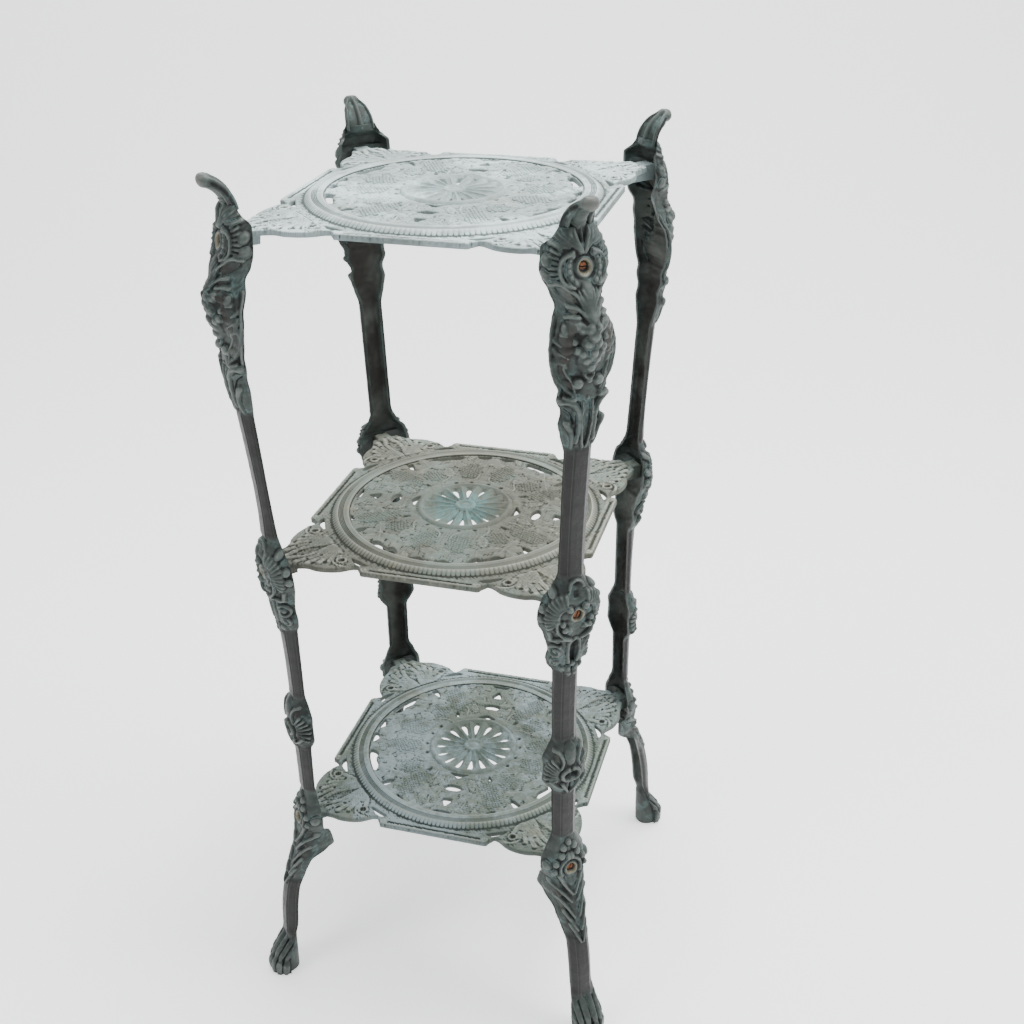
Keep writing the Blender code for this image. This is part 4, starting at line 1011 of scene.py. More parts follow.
def spoke_form():
    """A broad spoke of the rosette: a thin crest between sloping sides, from the hub out to the ring."""
    half_gap = math.pi / SPOKE_COUNT
    start, end = HUB_RADIUS - 0.001, ROSETTE_RING_RADIUS
    rows = []
    for part in np.linspace(0, 1, 22):
        radius = start + (end - start) * part
        half = radius * math.tan(half_gap) + 0.0001
        half -= np.interp(radius, *zip(*SLOT_HALF_WIDTHS))
        crest = 0.0011 * (0.55 + 0.45 * math.sin(math.pi * min(1, part * 1.15)))
        low = -FIELD_DROP - 0.0009 - 0.0010 * math.sin(math.pi * part)
        slope = [(0.12, SPOKE_CREST + crest), (0.24, low + 0.0019), (0.62, low + 0.0009), (1.0, low)]
        profile = [(-share, height) for share, height in reversed(slope)] + slope
        profile += [(1.0, FIELD_UNDER), (-1.0, FIELD_UNDER)]
        rows.append([(radius, half * share, height) for share, height in profile])
    rows = np.array(rows)
    faces = [face[::-1] for face in capped_faces(len(rows), rows.shape[1])]
    return mesh_object("spoke_form", rows.reshape(-1, 3), faces)


# Profiles of the rosette's hub and of its ring, as radii and heights below the shelf's top
HUB_PROFILE = ((0.0004, FIELD_UNDER), (HUB_RADIUS + 0.0012, FIELD_UNDER), (HUB_RADIUS + 0.0012, -0.0022),
               (HUB_RADIUS, -0.0001), (0.0088, 0.0006), (0.0072, 0.0004), (0.0062, -0.0007),
               (0.0042, -0.0006), (0.0030, 0.0001), (0.0004, 0.0002))
ROSETTE_RING_PROFILE = ((0.0412, FIELD_UNDER), (0.0412, -0.0022), (0.0420, -0.0018), (0.0432, 0.0),
                        (0.0448, 0.0005), (0.0464, 0.0), (0.0474, -0.0016), (ROSETTE_RADIUS, -0.0022),
                        (ROSETTE_RADIUS, FIELD_UNDER))


def rosette_pieces(shelf, spoke, material):
    """Hub, ring and sixteen spokes in the middle of a shelf."""
    top = SHELF_HEIGHTS[shelf]
    angles = np.arange(SPOKE_COUNT) * math.tau / SPOKE_COUNT
    places = np.tile((0.0, 0.0, top), (SPOKE_COUNT, 1))
    turns = np.column_stack([np.zeros(SPOKE_COUNT), np.zeros(SPOKE_COUNT), angles])
    sizes = np.ones((SPOKE_COUNT, 3))
    spokes = copies("shelf_" + shelf + "_spokes", spoke, places, turns, sizes, material)
    points, faces = lathe(HUB_PROFILE, 48)
    hub = mesh_object("shelf_" + shelf + "_hub", points + (0, 0, top), faces, None, material)
    points, faces = closed_lathe(ROSETTE_RING_PROFILE, 144)
    ring = mesh_object("shelf_" + shelf + "_rosette_ring", points + (0, 0, top), faces, None, material)
    return [spokes, hub, ring]


# Grapes: spacing as a share of the field's radius, and the smallest and largest radius
GRAPE_SPACING = 0.0300
GRAPE_SIZES = (0.00150, 0.00185)


def grape_form():
    """A small round berry, flattened underneath."""
    profile = [(0.02, -0.55), (0.80, -0.40), (1.0, 0.0), (0.86, 0.5), (0.5, 0.87), (0.03, 1.0)]
    points, faces = lathe(profile, 10)
    return mesh_object("grape_form", points, faces)


def grape_places():
    """Centres of the grapes in one quarter, in rows that fill each bunch."""
    random = np.random.default_rng(SEED)
    spacing = GRAPE_SPACING
    found = []
    for centre, long, wide, turn in GRAPE_BUNCHES:
        c, s = math.cos(math.radians(turn)), math.sin(math.radians(turn))
        rows = int(wide / spacing / CLOSE_ROW_SHARE) + 1
        for row in range(-rows, rows + 1):
            columns = int(long / spacing) + 1
            for column in range(-columns, columns + 1):
                u = (column + 0.5 * (row % 2)) * spacing
                v = row * spacing * CLOSE_ROW_SHARE
                if (u / long) ** 2 + (v / wide) ** 2 < 1:
                    x, y = centre[0] + u * c - v * s, centre[1] + u * s + v * c
                    jitter = random.uniform(-0.12, 0.12, 2) * spacing
                    found.append((x + jitter[0], y + jitter[1]))
    places = np.array(found)
    places = places[(places > 0.016).all(axis=1)] * FIELD_RADIUS
    return places[field_metal(places[:, 0], places[:, 1]) > 0.0012]


def grapes(shelf, form, material):
    quarter = grape_places()
    random = np.random.default_rng(SEED + 3)
    corners = [quarter * (sx, sy) for sx in (-1, 1) for sy in (-1, 1)]
    flat = np.vstack(corners)
    if shelf == "middle":
        flat = flat[:, ::-1]
    level = SHELF_HEIGHTS[shelf] - FIELD_DROP + 0.0002
    places = np.column_stack([flat, np.full(len(flat), level)])
    size = random.uniform(*GRAPE_SIZES, len(flat))
    sizes = np.column_stack([size, size, size * 0.75])
    return copies("shelf_" + shelf + "_grapes", form, places, np.zeros((len(flat), 3)), sizes, material)


# Legs: an open channel over the frame's own sections, with carving laid over its face

MM = 0.001
UPPER_SCREW = SHELF_HEIGHTS["top"] - SCREW_DROP
MIDDLE_SCREW = SHELF_HEIGHTS["middle"] - SCREW_DROP
LOWER_SCREW = SHELF_HEIGHTS["bottom"] - SCREW_DROP
SCREW_LEVELS = (UPPER_SCREW, MIDDLE_SCREW, LOWER_SCREW)
KNEE_MIDDLE = UPPER_SCREW - 0.070
KNOT_MIDDLE = LOWER_SCREW + 0.124
LEG_TOP = 0.846
LEG_WALL = 0.0035
JOINT_WALL = 0.0065
SEAT_HALF_HEIGHT = 0.0095
LIP_WIDTH = 0.0034
CHANNEL_HEIGHTS = (0.046, 0.064, 0.834, 0.840)
COLUMN_HALF_WIDTH = 0.0127
CARVING_DROP = 0.0013
RIB_FULLNESS = 1.22
HEAD_HOLE_RADIUS = 0.0046
HEAD_HOLE_DEPTH = 0.0033
COLLAR_RADIUS = 0.0054
FACE_POINTS = 48
HOLLOW_POINTS = 9

# A column's facets as shares of its half width and of its depth, and where its two edges lie round it
COLUMN_FACETS = ((0.0, 1.0), (0.48, 0.97), (0.93, 0.46), (1.0, 0.30), (1.0, 0.0))
FACET_EDGE_SHARES = (0.40, 0.815)

# Rows of points on a leg: where each stretch ends, and how far apart its rows are
ROW_SPANS = ((0.062, 0.0011), (0.112, 0.0022), (0.238, 0.00085), (0.284, 0.0022), (0.358, 0.00085),
             (0.426, 0.0022), (0.541, 0.00078), (0.654, 0.0024), (LEG_TOP, 0.00080))


def leg_sections():
    """Heights of the leg's sections in the frame, and the shape of each."""
    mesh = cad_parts["leg_front_right"].data
    places = np.unique(np.array([tuple(vertex.co) for vertex in mesh.vertices]).round(6), axis=0)
    out = (places[:, 0] - places[:, 1]) / math.sqrt(2)
    side = np.abs(places[:, 0] + places[:, 1]) / math.sqrt(2)
    rows = []
    for level in np.unique(places[:, 2].round(5)):
        here = np.abs(places[:, 2] - level) < 1.5e-5
        if here.sum() < 9 or level > LEG_TOP + 0.0001:
            continue
        half = side[here].max()
        reaches = []
        for share in (0.0, 0.5, 1.0):
            near = here & (np.abs(side - half * share) < 0.0003)
            reaches.append(out[near].max() if near.any() else np.nan)
        rows.append((level, out[here].min(), half, *reaches))
    level, lips, half, face, third, edge = np.array(rows).T
    face, third, edge = (np.interp(level, level[~np.isnan(reach)], reach[~np.isnan(reach)])
                         for reach in (face, third, edge))
    shoulders = (third - edge - (face - edge) * math.cos(math.pi / 6)) / math.sin(math.pi / 3)
    return level, {"face": face, "edge": edge, "lips": lips, "half": half, "shoulders": shoulders}


LEG_LEVELS, LEG_SHAPE = leg_sections()


def leg_rows():
    """Heights of the leg's rows of points, closer together where it is carved."""
    rows = [0.0]
    for end, step in ROW_SPANS:
        count = max(1, round((end - rows[-1]) / step))
        rows += list(np.linspace(rows[-1], end, count + 1)[1:])
    return np.array(rows)


def smooth_column(place, heights, values):
    """Values at given heights, smoothly interpolated without overshoot."""
    slopes = np.diff(values) / np.diff(heights)
    tangents = np.zeros(len(values))
    product = slopes[:-1] * slopes[1:]
    total = np.where(product > 0, slopes[:-1] + slopes[1:], 1)
    tangents[1:-1] = np.where(product > 0, 2 * product / total, 0)
    tangents[0], tangents[-1] = slopes[0], slopes[-1]
    index = np.clip(np.searchsorted(heights, place) - 1, 0, len(slopes) - 1)
    span = heights[index + 1] - heights[index]
    t = (place - heights[index]) / span
    return (values[index] * (1 + 2 * t) * (1 - t) ** 2 + tangents[index] * span * t * (1 - t) ** 2
            + values[index + 1] * t * t * (3 - 2 * t) + tangents[index + 1] * span * t * t * (t - 1))


def leg_shape(name, place):
    return smooth_column(place, LEG_LEVELS, LEG_SHAPE[name])


def facet_curve(count):
    corners = np.array(COLUMN_FACETS)
    lengths = np.concatenate([[0], np.cumsum(np.hypot(*np.diff(corners, axis=0).T))])
    places = np.linspace(0, lengths[-1], count)
    return np.interp(places, lengths, corners[:, 0]), np.interp(places, lengths, corners[:, 1])


def polar(radius, angle, centre=(0.0, 0.0)):
    turn = math.radians(angle)
    return (centre[0] + radius * math.cos(turn), centre[1] + radius * math.sin(turn))


def line(*points):
    return np.array(points, float)


# Carving in millimetres: distance round the face from its middle line, then height from its own origin

def upper_carving(relief):
    """Beaded scroll beside the screw inside fluted lobes, plumes above it and a leafy shield below."""
    relief.dome((31.9, 6.0), 5.4, 5.4, 3.4)
    relief.dome((34.5, -5.9), 6.0, 6.0, 3.4)
    for angle in range(38, -34, -9):
        relief.ridge(line(polar(22.8, angle), polar(29.5, angle)), 1.6, 2.6, 2.8)
    for angle, length in ((76, 18), (62, 23), (47, 26), (32, 25), (17, 22)):
        relief.ridge(line(polar(5.0, angle, (6, 14)), polar(length, angle, (6, 14))), 1.4, 3.2, 4.2)
    relief.ridge(arc((0, 0), 6.6, -90, 90, 20), 2.2, 2.2)
    relief.ridge(arc((0, 0), 13.8, 52, -54, 24), 4.6, 1.6)
    for angle, size in ((46, 2.7), (29, 1.7), (13, 1.9), (-6, 2.0), (-26, 2.0), (-48, 1.8)):
        relief.dome(polar(13.8, angle), size, size, 3.5)
    relief.ridge(arc((0, 0), 17.6, 35, -50, 20), 1.3, 2.2)
    relief.ridge(curve((8.6, 12.7), (19.0, 6.2), (20.7, -4.4), (18.0, -10.4), (11.0, -14.0)), 2.6, 3.6)
    relief.ridge(curve((5.0, 16.0), (12.0, 21.0), (19.0, 27.0)), 4.5, 3.2, 3.0)
    relief.ridge(curve((1.5, 12.0), (5.4, 18.0), (14.0, 33.0)), 4.2, 3.6, 3.2)
    relief.ridge(curve((0.8, 12.0), (5.5, 24.0), (6.5, 32.0)), 2.6, 4.2)
    relief.ridge(line((0.0, 14.0), (0.0, 32.0)), 1.8, 2.4)
    relief.dome((0.0, -28.0), 17.0, 8.5, 2.6, 90, 0.6)
    relief.ridge(curve((31.0, -12.6), (22.4, -11.1), (15.5, -15.5), (5.2, -24.4), (1.7, -31.9)),
                 4.4, 3.8, 2.2)
    relief.ridge(curve((19.0, -28.1), (12.0, -29.6), (5.2, -35.6)), 4.5, 3.4, 3.0)
    relief.groove(curve((28.5, -17.0), (19.0, -21.5), (8.6, -23.0)), 6.5, 1.7, 3.0)
    relief.groove(line((9.5, -33.8), (13.5, -33.3)), 4.0, 1.5)
    for start, end in (((12, -17), (3, -34)), ((8.5, -16.5), (2, -32)), ((5, -16), (1.2, -29))):
        relief.ridge(line(start, end), 1.3, 3.4, 0.8)


def knee_carving(relief):
    """Rimmed side panels round a bud of lumps, and two split leaves that run down to the column."""
    relief.groove(curve((31.0, -6.0), (28.0, -15.0), (21.0, -25.0), (14.0, -31.0)), 12.0, 1.1, 8.0)
    for start, end in (((33.0, 15.5), (20.0, 7.0)), ((32.6, 8.7), (20.0, 0.5)), ((35.0, -0.6), (21.0, -4.0)),
                       ((27.0, 20.3), (15.7, 16.8))):
        relief.ridge(line(start, end), 3.6, 2.6, 2.4)
    relief.groove(line((23.6, 28.4), (15.7, 21.5)), 7.0, 1.8)
    relief.rim(-34.0, 33.0, 2.5, 3.0, 3.4)
    relief.ridge(curve((21.0, -33.0), (15.7, -34.3), (11.0, -35.0)), 2.6, 3.4)
    relief.ridge(curve((24.0, 33.5), (18.0, 34.6), (11.2, 34.0)), 3.0, 3.6)
    relief.ridge(curve((22.5, -7.6), (19.0, -14.0), (15.7, -19.2), (12.4, -28.5)), 1.7, 2.8)
    for place, size, height in (((13.5, 28.4), 4.5, 4.4), ((12.4, 7.5), 3.9, 4.0), ((15.7, 14.5), 3.0, 3.6),
                                ((10.0, -21.6), 5.0, 4.6), ((0.0, -19.5), 2.6, 4.0),
                                ((0.0, -36.0), 2.2, 3.2)):
        relief.dome(place, size, size, height)
    for place in ((24.0, 24.5), (17.5, 27.5), (10.5, 26.0), (3.8, 24.5)):
        relief.dome(place, 5.6, 4.3, 3.6, 60, 0.45)
    relief.ridge(curve((31.5, 8.0), (26.0, -2.0), (20.0, -7.0)), 5.0, 2.4, 2.8)
    relief.ridge(curve((31.5, -2.0), (27.5, -15.0), (19.5, -26.0), (12.5, -32.0)), 6.8, 2.9, 3.4)
    relief.groove(curve((29.5, -5.0), (25.5, -16.0), (17.5, -27.0)), 1.6, 0.9)
    relief.dome((0.0, 5.0), 20.0, 12.5, 2.9, 90, 0.4)
    for place, size in (((0.0, 19.0), 4.4), ((4.6, 12.5), 4.3), ((0.0, 5.5), 4.5), ((8.2, 5.0), 3.6),
                        ((4.4, -1.5), 4.2), ((0.0, -8.0), 3.9)):
        relief.dome(place, size * 1.25, size * 1.1, 5.0, 90, 0.48)
    relief.ridge(arc((0, -14), 4.2, 180, 360, 18), 1.8, 3.2)
    relief.ridge(curve((24.0, -37.0), (16.0, -37.5), (9.0, -44.8), (7.3, -56.4), (8.0, -75.0)), 6.2, 3.6, 3.2)
    relief.dome((23.0, -37.5), 4.6, 3.8, 3.6, -20)
    relief.ridge(curve((18.0, -57.0), (12.5, -68.0), (11.2, -81.0)), 5.2, 3.2, 2.6)
    relief.dome((18.0, -56.5), 3.6, 3.2, 3.4)
    relief.groove(curve((22.5, -45.0), (16.0, -49.0), (12.4, -56.4)), 2.6, 1.5)
    relief.groove(curve((14.0, -41.5), (10.5, -48.0), (9.8, -60.0)), 1.4, 0.9)
    relief.groove(line((0.0, -39.0), (0.0, -81.0)), 7.6, 2.6, 3.2)
    relief.ridge(curve((4.5, -39.0), (4.8, -55.0), (3.4, -72.0), (1.5, -81.0)), 2.2, 3.0)


def middle_carving(relief):
    """A hood and a ribbed shell beside the screw, volutes under it round a dark niche."""
    for angle in (90, 77, 64, 51, 38, 25, 12, 0, -12, -24, -36):
        relief.ridge(line(polar(8.5, angle, (11, 1)), polar(20.5, angle, (11, 1))), 1.5, 3.0, 3.6)
    relief.ridge(arc((11, 1), 8.2, 95, -45, 20), 1.8, 2.6)
    for place, size in (((34.9, 8.0), 4.2), ((36.6, -2.6), 4.2), ((24.4, 23.9), 4.6), ((8.1, 8.0), 3.5)):
        relief.dome(place, size, size, 4.6)
    relief.ridge(arc((0, 27.5), 7.0, 0, 180, 20), 2.6, 3.4)
    relief.groove(line((0.0, 29.0), (0.0, 19.0)), 8.4, 2.2)
    relief.ridge(arc((0, 0), 6.4, -90, 90, 18), 2.2, 2.4)
    relief.ridge(curve((19.8, -2.5), (19.2, -13.0), (13.4, -21.0), (5.2, -25.0)), 2.2, 4.0)
    for place, size in (((14.5, -6.5), 3.0), ((12.2, -13.0), 3.4), ((7.5, -13.0), 2.6)):
        relief.dome(place, size, size, 4.4)
    relief.ridge(curve((28.0, -16.0), (24.0, -24.0), (17.0, -28.0)), 3.4, 3.0)
    relief.ridge(curve((26.0, -26.0), (14.5, -23.7), (6.4, -26.0)), 2.6, 3.6)
    relief.scroll((18.0, -39.5), 9.2, 120, -1.4, 3.2, 4.4)
    relief.scroll((18.0, -52.0), 5.6, 60, -1.2, 2.4, 3.6)
    relief.ridge(arc((0, -31), 5.2, 0, 180, 16), 2.4, 4.2)
    relief.ridge(curve((5.4, -31.0), (5.8, -42.0), (4.2, -54.0)), 2.2, 3.4)
    relief.groove(line((0.0, -32.0), (0.0, -52.0)), 8.0, 2.8, 5.0)
    relief.dome((3.5, -64.0), 7.0, 3.6, 3.4, 80)
    relief.dome((9.5, -61.5), 5.0, 3.2, 3.0, 70)
    relief.dome((0.0, -57.0), 3.4, 3.0, 3.4)


def knot_carving(relief):
    """A smooth tongue, a fine fan of ribs and curled blades wrapped round the column."""
    for angle in (55, 41, 27, 13, -1, -15, -29):
        relief.ridge(line(polar(8.0, angle, (6, -6.5)), polar(22.0, angle, (6, -6.5))), 1.5, 3.0, 3.4)
    relief.dome((0.0, 17.0), 13.0, 7.0, 3.2, 90, 0.55)
    relief.ridge(curve((17.0, 22.0), (11.0, 19.0), (8.0, 10.0), (10.0, 2.0)), 3.4, 3.6, 2.2)
    relief.ridge(arc((3, -7), 6.2, 100, -120, 24), 3.0, 4.2)
    relief.groove(line((2.0, -7.0), (4.0, -7.2)), 5.0, 1.6)
    relief.ridge(curve((20.0, -14.0), (14.0, -20.0), (7.0, -24.0)), 4.0, 3.4, 2.6)
    relief.ridge(curve((9.0, -17.0), (5.0, -24.0), (1.8, -30.0)), 3.2, 3.8, 2.0)
    relief.groove(line((0.0, -18.0), (0.0, -28.0)), 3.0, 1.8)


def lower_carving(relief):
    """A lumpy hood over the lowest screw, side lobes, and a long leaf that runs down the bent leg."""
    relief.dome((26.6, 5.8), 6.0, 5.0, 3.6)
    relief.dome((25.5, -16.0), 5.0, 4.0, 3.2)
    relief.groove(line((21.0, -7.0), (26.0, -8.5)), 6.0, 1.8)
    relief.ridge(arc((0, 0), 6.4, -90, 90, 18), 2.2, 2.4)
    relief.ridge(arc((0, 0), 11.5, 90, -30, 22), 3.2, 3.0)
    for place, size in (((9.0, 16.0), 4.0), ((1.8, 14.0), 3.6), ((15.5, 8.0), 3.6), ((17.5, -1.0), 3.2),
                        ((6.0, 24.0), 3.8), ((0.0, 29.0), 3.4)):
        relief.dome(place, size, size, 3.8)
    for start, middle, end in (((13.4, -5.4), (7.6, -19.0), (0.8, -30.0)),
                               ((26.6, -16.0), (14.0, -24.0), (3.0, -38.0)),
                               ((20.7, -30.0), (12.0, -38.0), (3.0, -54.0)),
                               ((13.0, -46.0), (8.0, -56.0), (2.0, -68.0)),
                               ((9.0, -60.0), (5.5, -68.0), (1.0, -80.0))):
        relief.ridge(curve(start, middle, end), 4.2, 3.6, 2.4)
    relief.groove(line((0.0, -34.0), (0.0, -78.0)), 2.8, 1.5, 1.4)
    relief.rim(-36.0, -14.0, 1.8, 2.4, 2.0)


def paw_carving(relief):
    """Long smooth pads over rounded toes, with grooves between them."""
    for across in (4.2, 13.0, 21.5):
        relief.dome((across, 33.0), 15.0, 4.2, 2.6, 90 - across * 0.4, 0.5)
        relief.dome((across, 10.0), 11.0, 4.6, 3.4, 90, 0.5)
    relief.groove(line((8.6, 0.0), (8.4, 42.0)), 1.8, 1.3)
    relief.groove(line((17.4, 0.0), (16.6, 40.0)), 1.8, 1.3)
    relief.groove(line((0.0, 0.0), (0.0, 24.0)), 1.6, 1.2)


CARVINGS = ((upper_carving, UPPER_SCREW), (knee_carving, KNEE_MIDDLE), (middle_carving, MIDDLE_SCREW),
            (knot_carving, KNOT_MIDDLE), (lower_carving, LOWER_SCREW), (paw_carving, 0.0))


def leg_face(rows):
    """The uncarved face over one half: x, y, and how far each row is ornament instead of column."""
    face, edge, half, shoulders = (leg_shape(name, rows)[:, None] for name in
                                   ("face", "edge", "half", "shoulders"))
    carved = np.clip((half - COLUMN_HALF_WIDTH) / 0.0015, 0, 1)
    facet_y, facet_x = facet_curve(FACE_POINTS)
    bend = np.linspace(0, math.pi / 2, FACE_POINTS)
    share_y = (1 - carved) * facet_y + carved * np.sin(bend)
    share_x = (1 - carved) * facet_x + carved * np.cos(bend)
    x = edge + (face - edge) * share_x + shoulders * np.sin(2 * bend)
    return x, half * share_y, carved


def face_relief(across, heights, carved):
    """Height of the carving over the face, which fades out at the leg's edges and top."""
    gap = across[:, -1:] - across
    height = np.zeros(across.shape)
    for carving, level in CARVINGS:
        relief = Relief(across / MM, (heights - level) / MM, RIB_FULLNESS, gap / MM)
        carving(relief)
        height += relief.height * MM
    height = blurred(height, 1, False) * np.clip((LEG_TOP - heights) / 0.006, 0, 1) ** 0.7
    lump = 0.00030 * soft_noise(across, heights, 0.012, SEED)
    lump = lump + 0.00012 * soft_noise(across, heights, 0.004, SEED + 2)
    at_edge = np.clip(gap / 0.0018, 0, 1) ** 0.5
    return (height - CARVING_DROP * carved) * at_edge + lump * (0.3 + 0.7 * carved)


def face_marks(raised, carved):
    """Hollow and crest shares of the face, with the worn edges of its columns lightened as wear and painted
    highlight.
    """
    hollow, crest = marks_from(raised, False, 0.0010, 8)
    broad_hollow, broad_crest = marks_from(raised, False, 0.0022, 60)
    hollow = np.clip(0.75 * hollow + 0.75 * broad_hollow, 0, 1)
    crest = np.clip(0.8 * crest + 0.45 * broad_crest, 0, 1)
    part = np.linspace(0, 1, FACE_POINTS)
    for edge in FACET_EDGE_SHARES:
        crest = np.maximum(crest, (1 - carved) * 0.5 * np.clip(1 - np.abs(part - edge) / 0.045, 0, 1))
    return hollow, crest


def screw_holes(across, heights, raised, hollow):
    """Sinks the holes of the three screws into the face, each with a worn collar."""
    collar = np.zeros(across.shape)
    for screw in SCREW_LEVELS:
        bore = np.hypot(across, heights - screw)
        raised = np.where(bore < HEAD_HOLE_RADIUS, -HEAD_HOLE_DEPTH, raised)
        # Painted shade: the inside of each hole counts as a deep hollow, so it is darkened.
        hollow = np.where(bore < HEAD_HOLE_RADIUS, 0.8, hollow)
        collar = np.maximum(collar, np.clip(1.4 - np.abs(bore - COLLAR_RADIUS) / 0.0009, 0, 1))
    return raised, hollow, collar


def leg_channel(rows, front_x):
    """The open back over one half: x, y, and how deep in the channel each point lies."""
    face, lips, half = (leg_shape(name, rows)[:, None] for name in ("face", "lips", "half"))
    opened = np.interp(rows, CHANNEL_HEIGHTS, (0.0, 1.0, 1.0, 0.0))[:, None]
    wall = np.full(len(rows), LEG_WALL)
    for screw in SCREW_LEVELS:
        wall = np.where(np.abs(rows - screw) < SEAT_HALF_HEIGHT, JOINT_WALL, wall)
    part = np.linspace(1, 0, HOLLOW_POINTS)
    y = (half - LIP_WIDTH) * np.sin(part * math.pi / 2) ** 0.8
    deepest = front_x[:, :FACE_POINTS // 3].min(axis=1) - 0.0012
    floor = np.minimum(face[:, 0] - wall, deepest)[:, None]
    arch = lips + (floor - lips) * np.minimum(1, np.cos(part * math.pi / 2) * 1.5)
    middle = (face + lips) / 2
    solid = middle - (middle - lips) * np.cos(part * math.pi / 2)
    x = solid + (arch - solid) * opened
    heights = np.repeat(rows[:, None], HOLLOW_POINTS, axis=1)
    x = x + 0.0004 * soft_noise(y + x, heights, 0.009, SEED + 5) * opened * (part < 0.9)
    depth = np.clip((1 - part) * 1.6, 0, 1)[None, :] * opened
    for screw in (UPPER_SCREW + 0.012, MIDDLE_SCREW, LOWER_SCREW):
        depth = depth * (1 - 0.8 * np.exp(-((rows[:, None] - screw) / 0.024) ** 2))
    return x, y, depth


def leg_shell():
    """Points, faces and marks of a leg along +X, with its channel open towards the axis."""
    rows = leg_rows()
    x, y, carved = leg_face(rows)
    steps = np.hypot(np.diff(x, axis=1), np.diff(y, axis=1))
    across = np.concatenate([np.zeros((len(rows), 1)), np.cumsum(steps, axis=1)], axis=1)
    heights = np.repeat(rows[:, None], FACE_POINTS, axis=1)
    raised = face_relief(across, heights, carved)
    hollow, crest = face_marks(raised, carved)
    raised, hollow, collar = screw_holes(across, heights, raised, hollow)
    side_x, side_y = np.gradient(x, axis=1), np.gradient(y, axis=1)
    length = np.maximum(np.hypot(side_x, side_y), 1e-9)
    front_x, front_y = x + raised * side_y / length, y - raised * side_x / length
    front_y[:, 0] = 0.0
    front_x = np.minimum(front_x, LEG_REACH - np.abs(front_y))
    in_x, in_y, depth = leg_channel(rows, front_x)

    def round_leg(front, back, mirror=1):
        return np.concatenate([front, back, mirror * back[:, -2::-1], mirror * front[:, :0:-1]], axis=1)

    ring_x, ring_y = round_leg(front_x, in_x), round_leg(front_y, in_y, -1)
    bare, plain = np.zeros(in_x.shape), np.zeros(front_x.shape)
    # The channel's lips get a crest share: wear with painted highlight.
    lip = 0.25 * (np.linspace(1, 0, HOLLOW_POINTS) > 0.9)
    marks = {"hollow": (hollow, bare + 0.2), "crest": (crest, bare + lip),
             "column": (plain + 1 - carved, bare), "inside": (plain, depth),
             "collar": (collar, bare), "tip": (plain, bare)}
    marks = {mark: round_leg(front, back).ravel() for mark, (front, back) in marks.items()}
    count = ring_x.shape[1]
    ring_z = np.repeat(rows[:, None], count, axis=1)
    points = np.stack([ring_x, ring_y, ring_z], axis=-1).reshape(-1, 3)
    return points, capped_faces(len(rows), count), marks


# Finial: a leaf that curls outwards, thick along its middle, with a blunt rounded tip

FINIAL_LENGTH = 0.0340
FINIAL_ROOT = 0.0050
FINIAL_ANGLES = (13.0, 84.0)
FINIAL_WIDTHS = ((0.0, 0.0150), (0.20, 0.0142), (0.50, 0.0118), (0.70, 0.0082), (0.80, 0.0080), (1.0, 0.0080))
FINIAL_SIDES = 46


def finial_section(along):
    """Half widths' share, outer and inner surface of the leaf at a share of its length, and its marks."""
    share = np.cos(np.linspace(0, math.pi, FINIAL_SIDES))
    half = np.interp(along, *zip(*FINIAL_WIDTHS))
    rounding = np.sqrt(np.clip(1 - share ** 2, 0, 1))
    bulb = np.clip((along - 0.66) / 0.16, 0, 1)
    bulb = bulb * bulb * (3 - 2 * bulb)
    shrink = math.sqrt(1 - 0.93 * min(1, max(0, (along - 0.82) / 0.18)) ** 2)
    half = half * shrink
    across = half * share
    stem = 0.0060 * np.sqrt(np.clip(1 - (across / 0.0068) ** 2, 0, 1))
    plume = 0.0042 * np.clip(1 - ((np.abs(across) - 0.0098) / 0.0026) ** 2, 0, 1) ** 0.6
    collar = 0.0010 * sum(np.exp(-((along - place) / 0.030) ** 2) for place in (0.06, 0.17))
    collar = collar * (np.abs(across) < 0.0068)
    outer = np.maximum(np.maximum(stem, plume), 0.0018) * rounding ** 0.3 + collar
    rim = 0.0046 * np.clip(1 - ((half - np.abs(across) - 0.0016) / 0.0020) ** 2, 0, 1) ** 0.5
    midrib = 0.0056 * np.clip(1 - (across / 0.0026) ** 2, 0, 1) ** 0.6
    inner = np.maximum(np.maximum(rim, midrib), 0.0022) * rounding ** 0.3
    round_depth = 0.00625 * rounding * shrink
    outer = outer * (1 - bulb) + round_depth * bulb
    inner = inner * (1 - bulb) + round_depth * bulb
    # Painted shade: the grooves between stem and plumes are marked as hollows, so they are darkened.
    dark_out = (1 - bulb) * np.clip(1 - outer / 0.0034, 0, 1)
    dark_in = (1 - bulb) * np.clip(1 - inner / 0.0036, 0, 1)
    return across, outer, inner, dark_out, dark_in


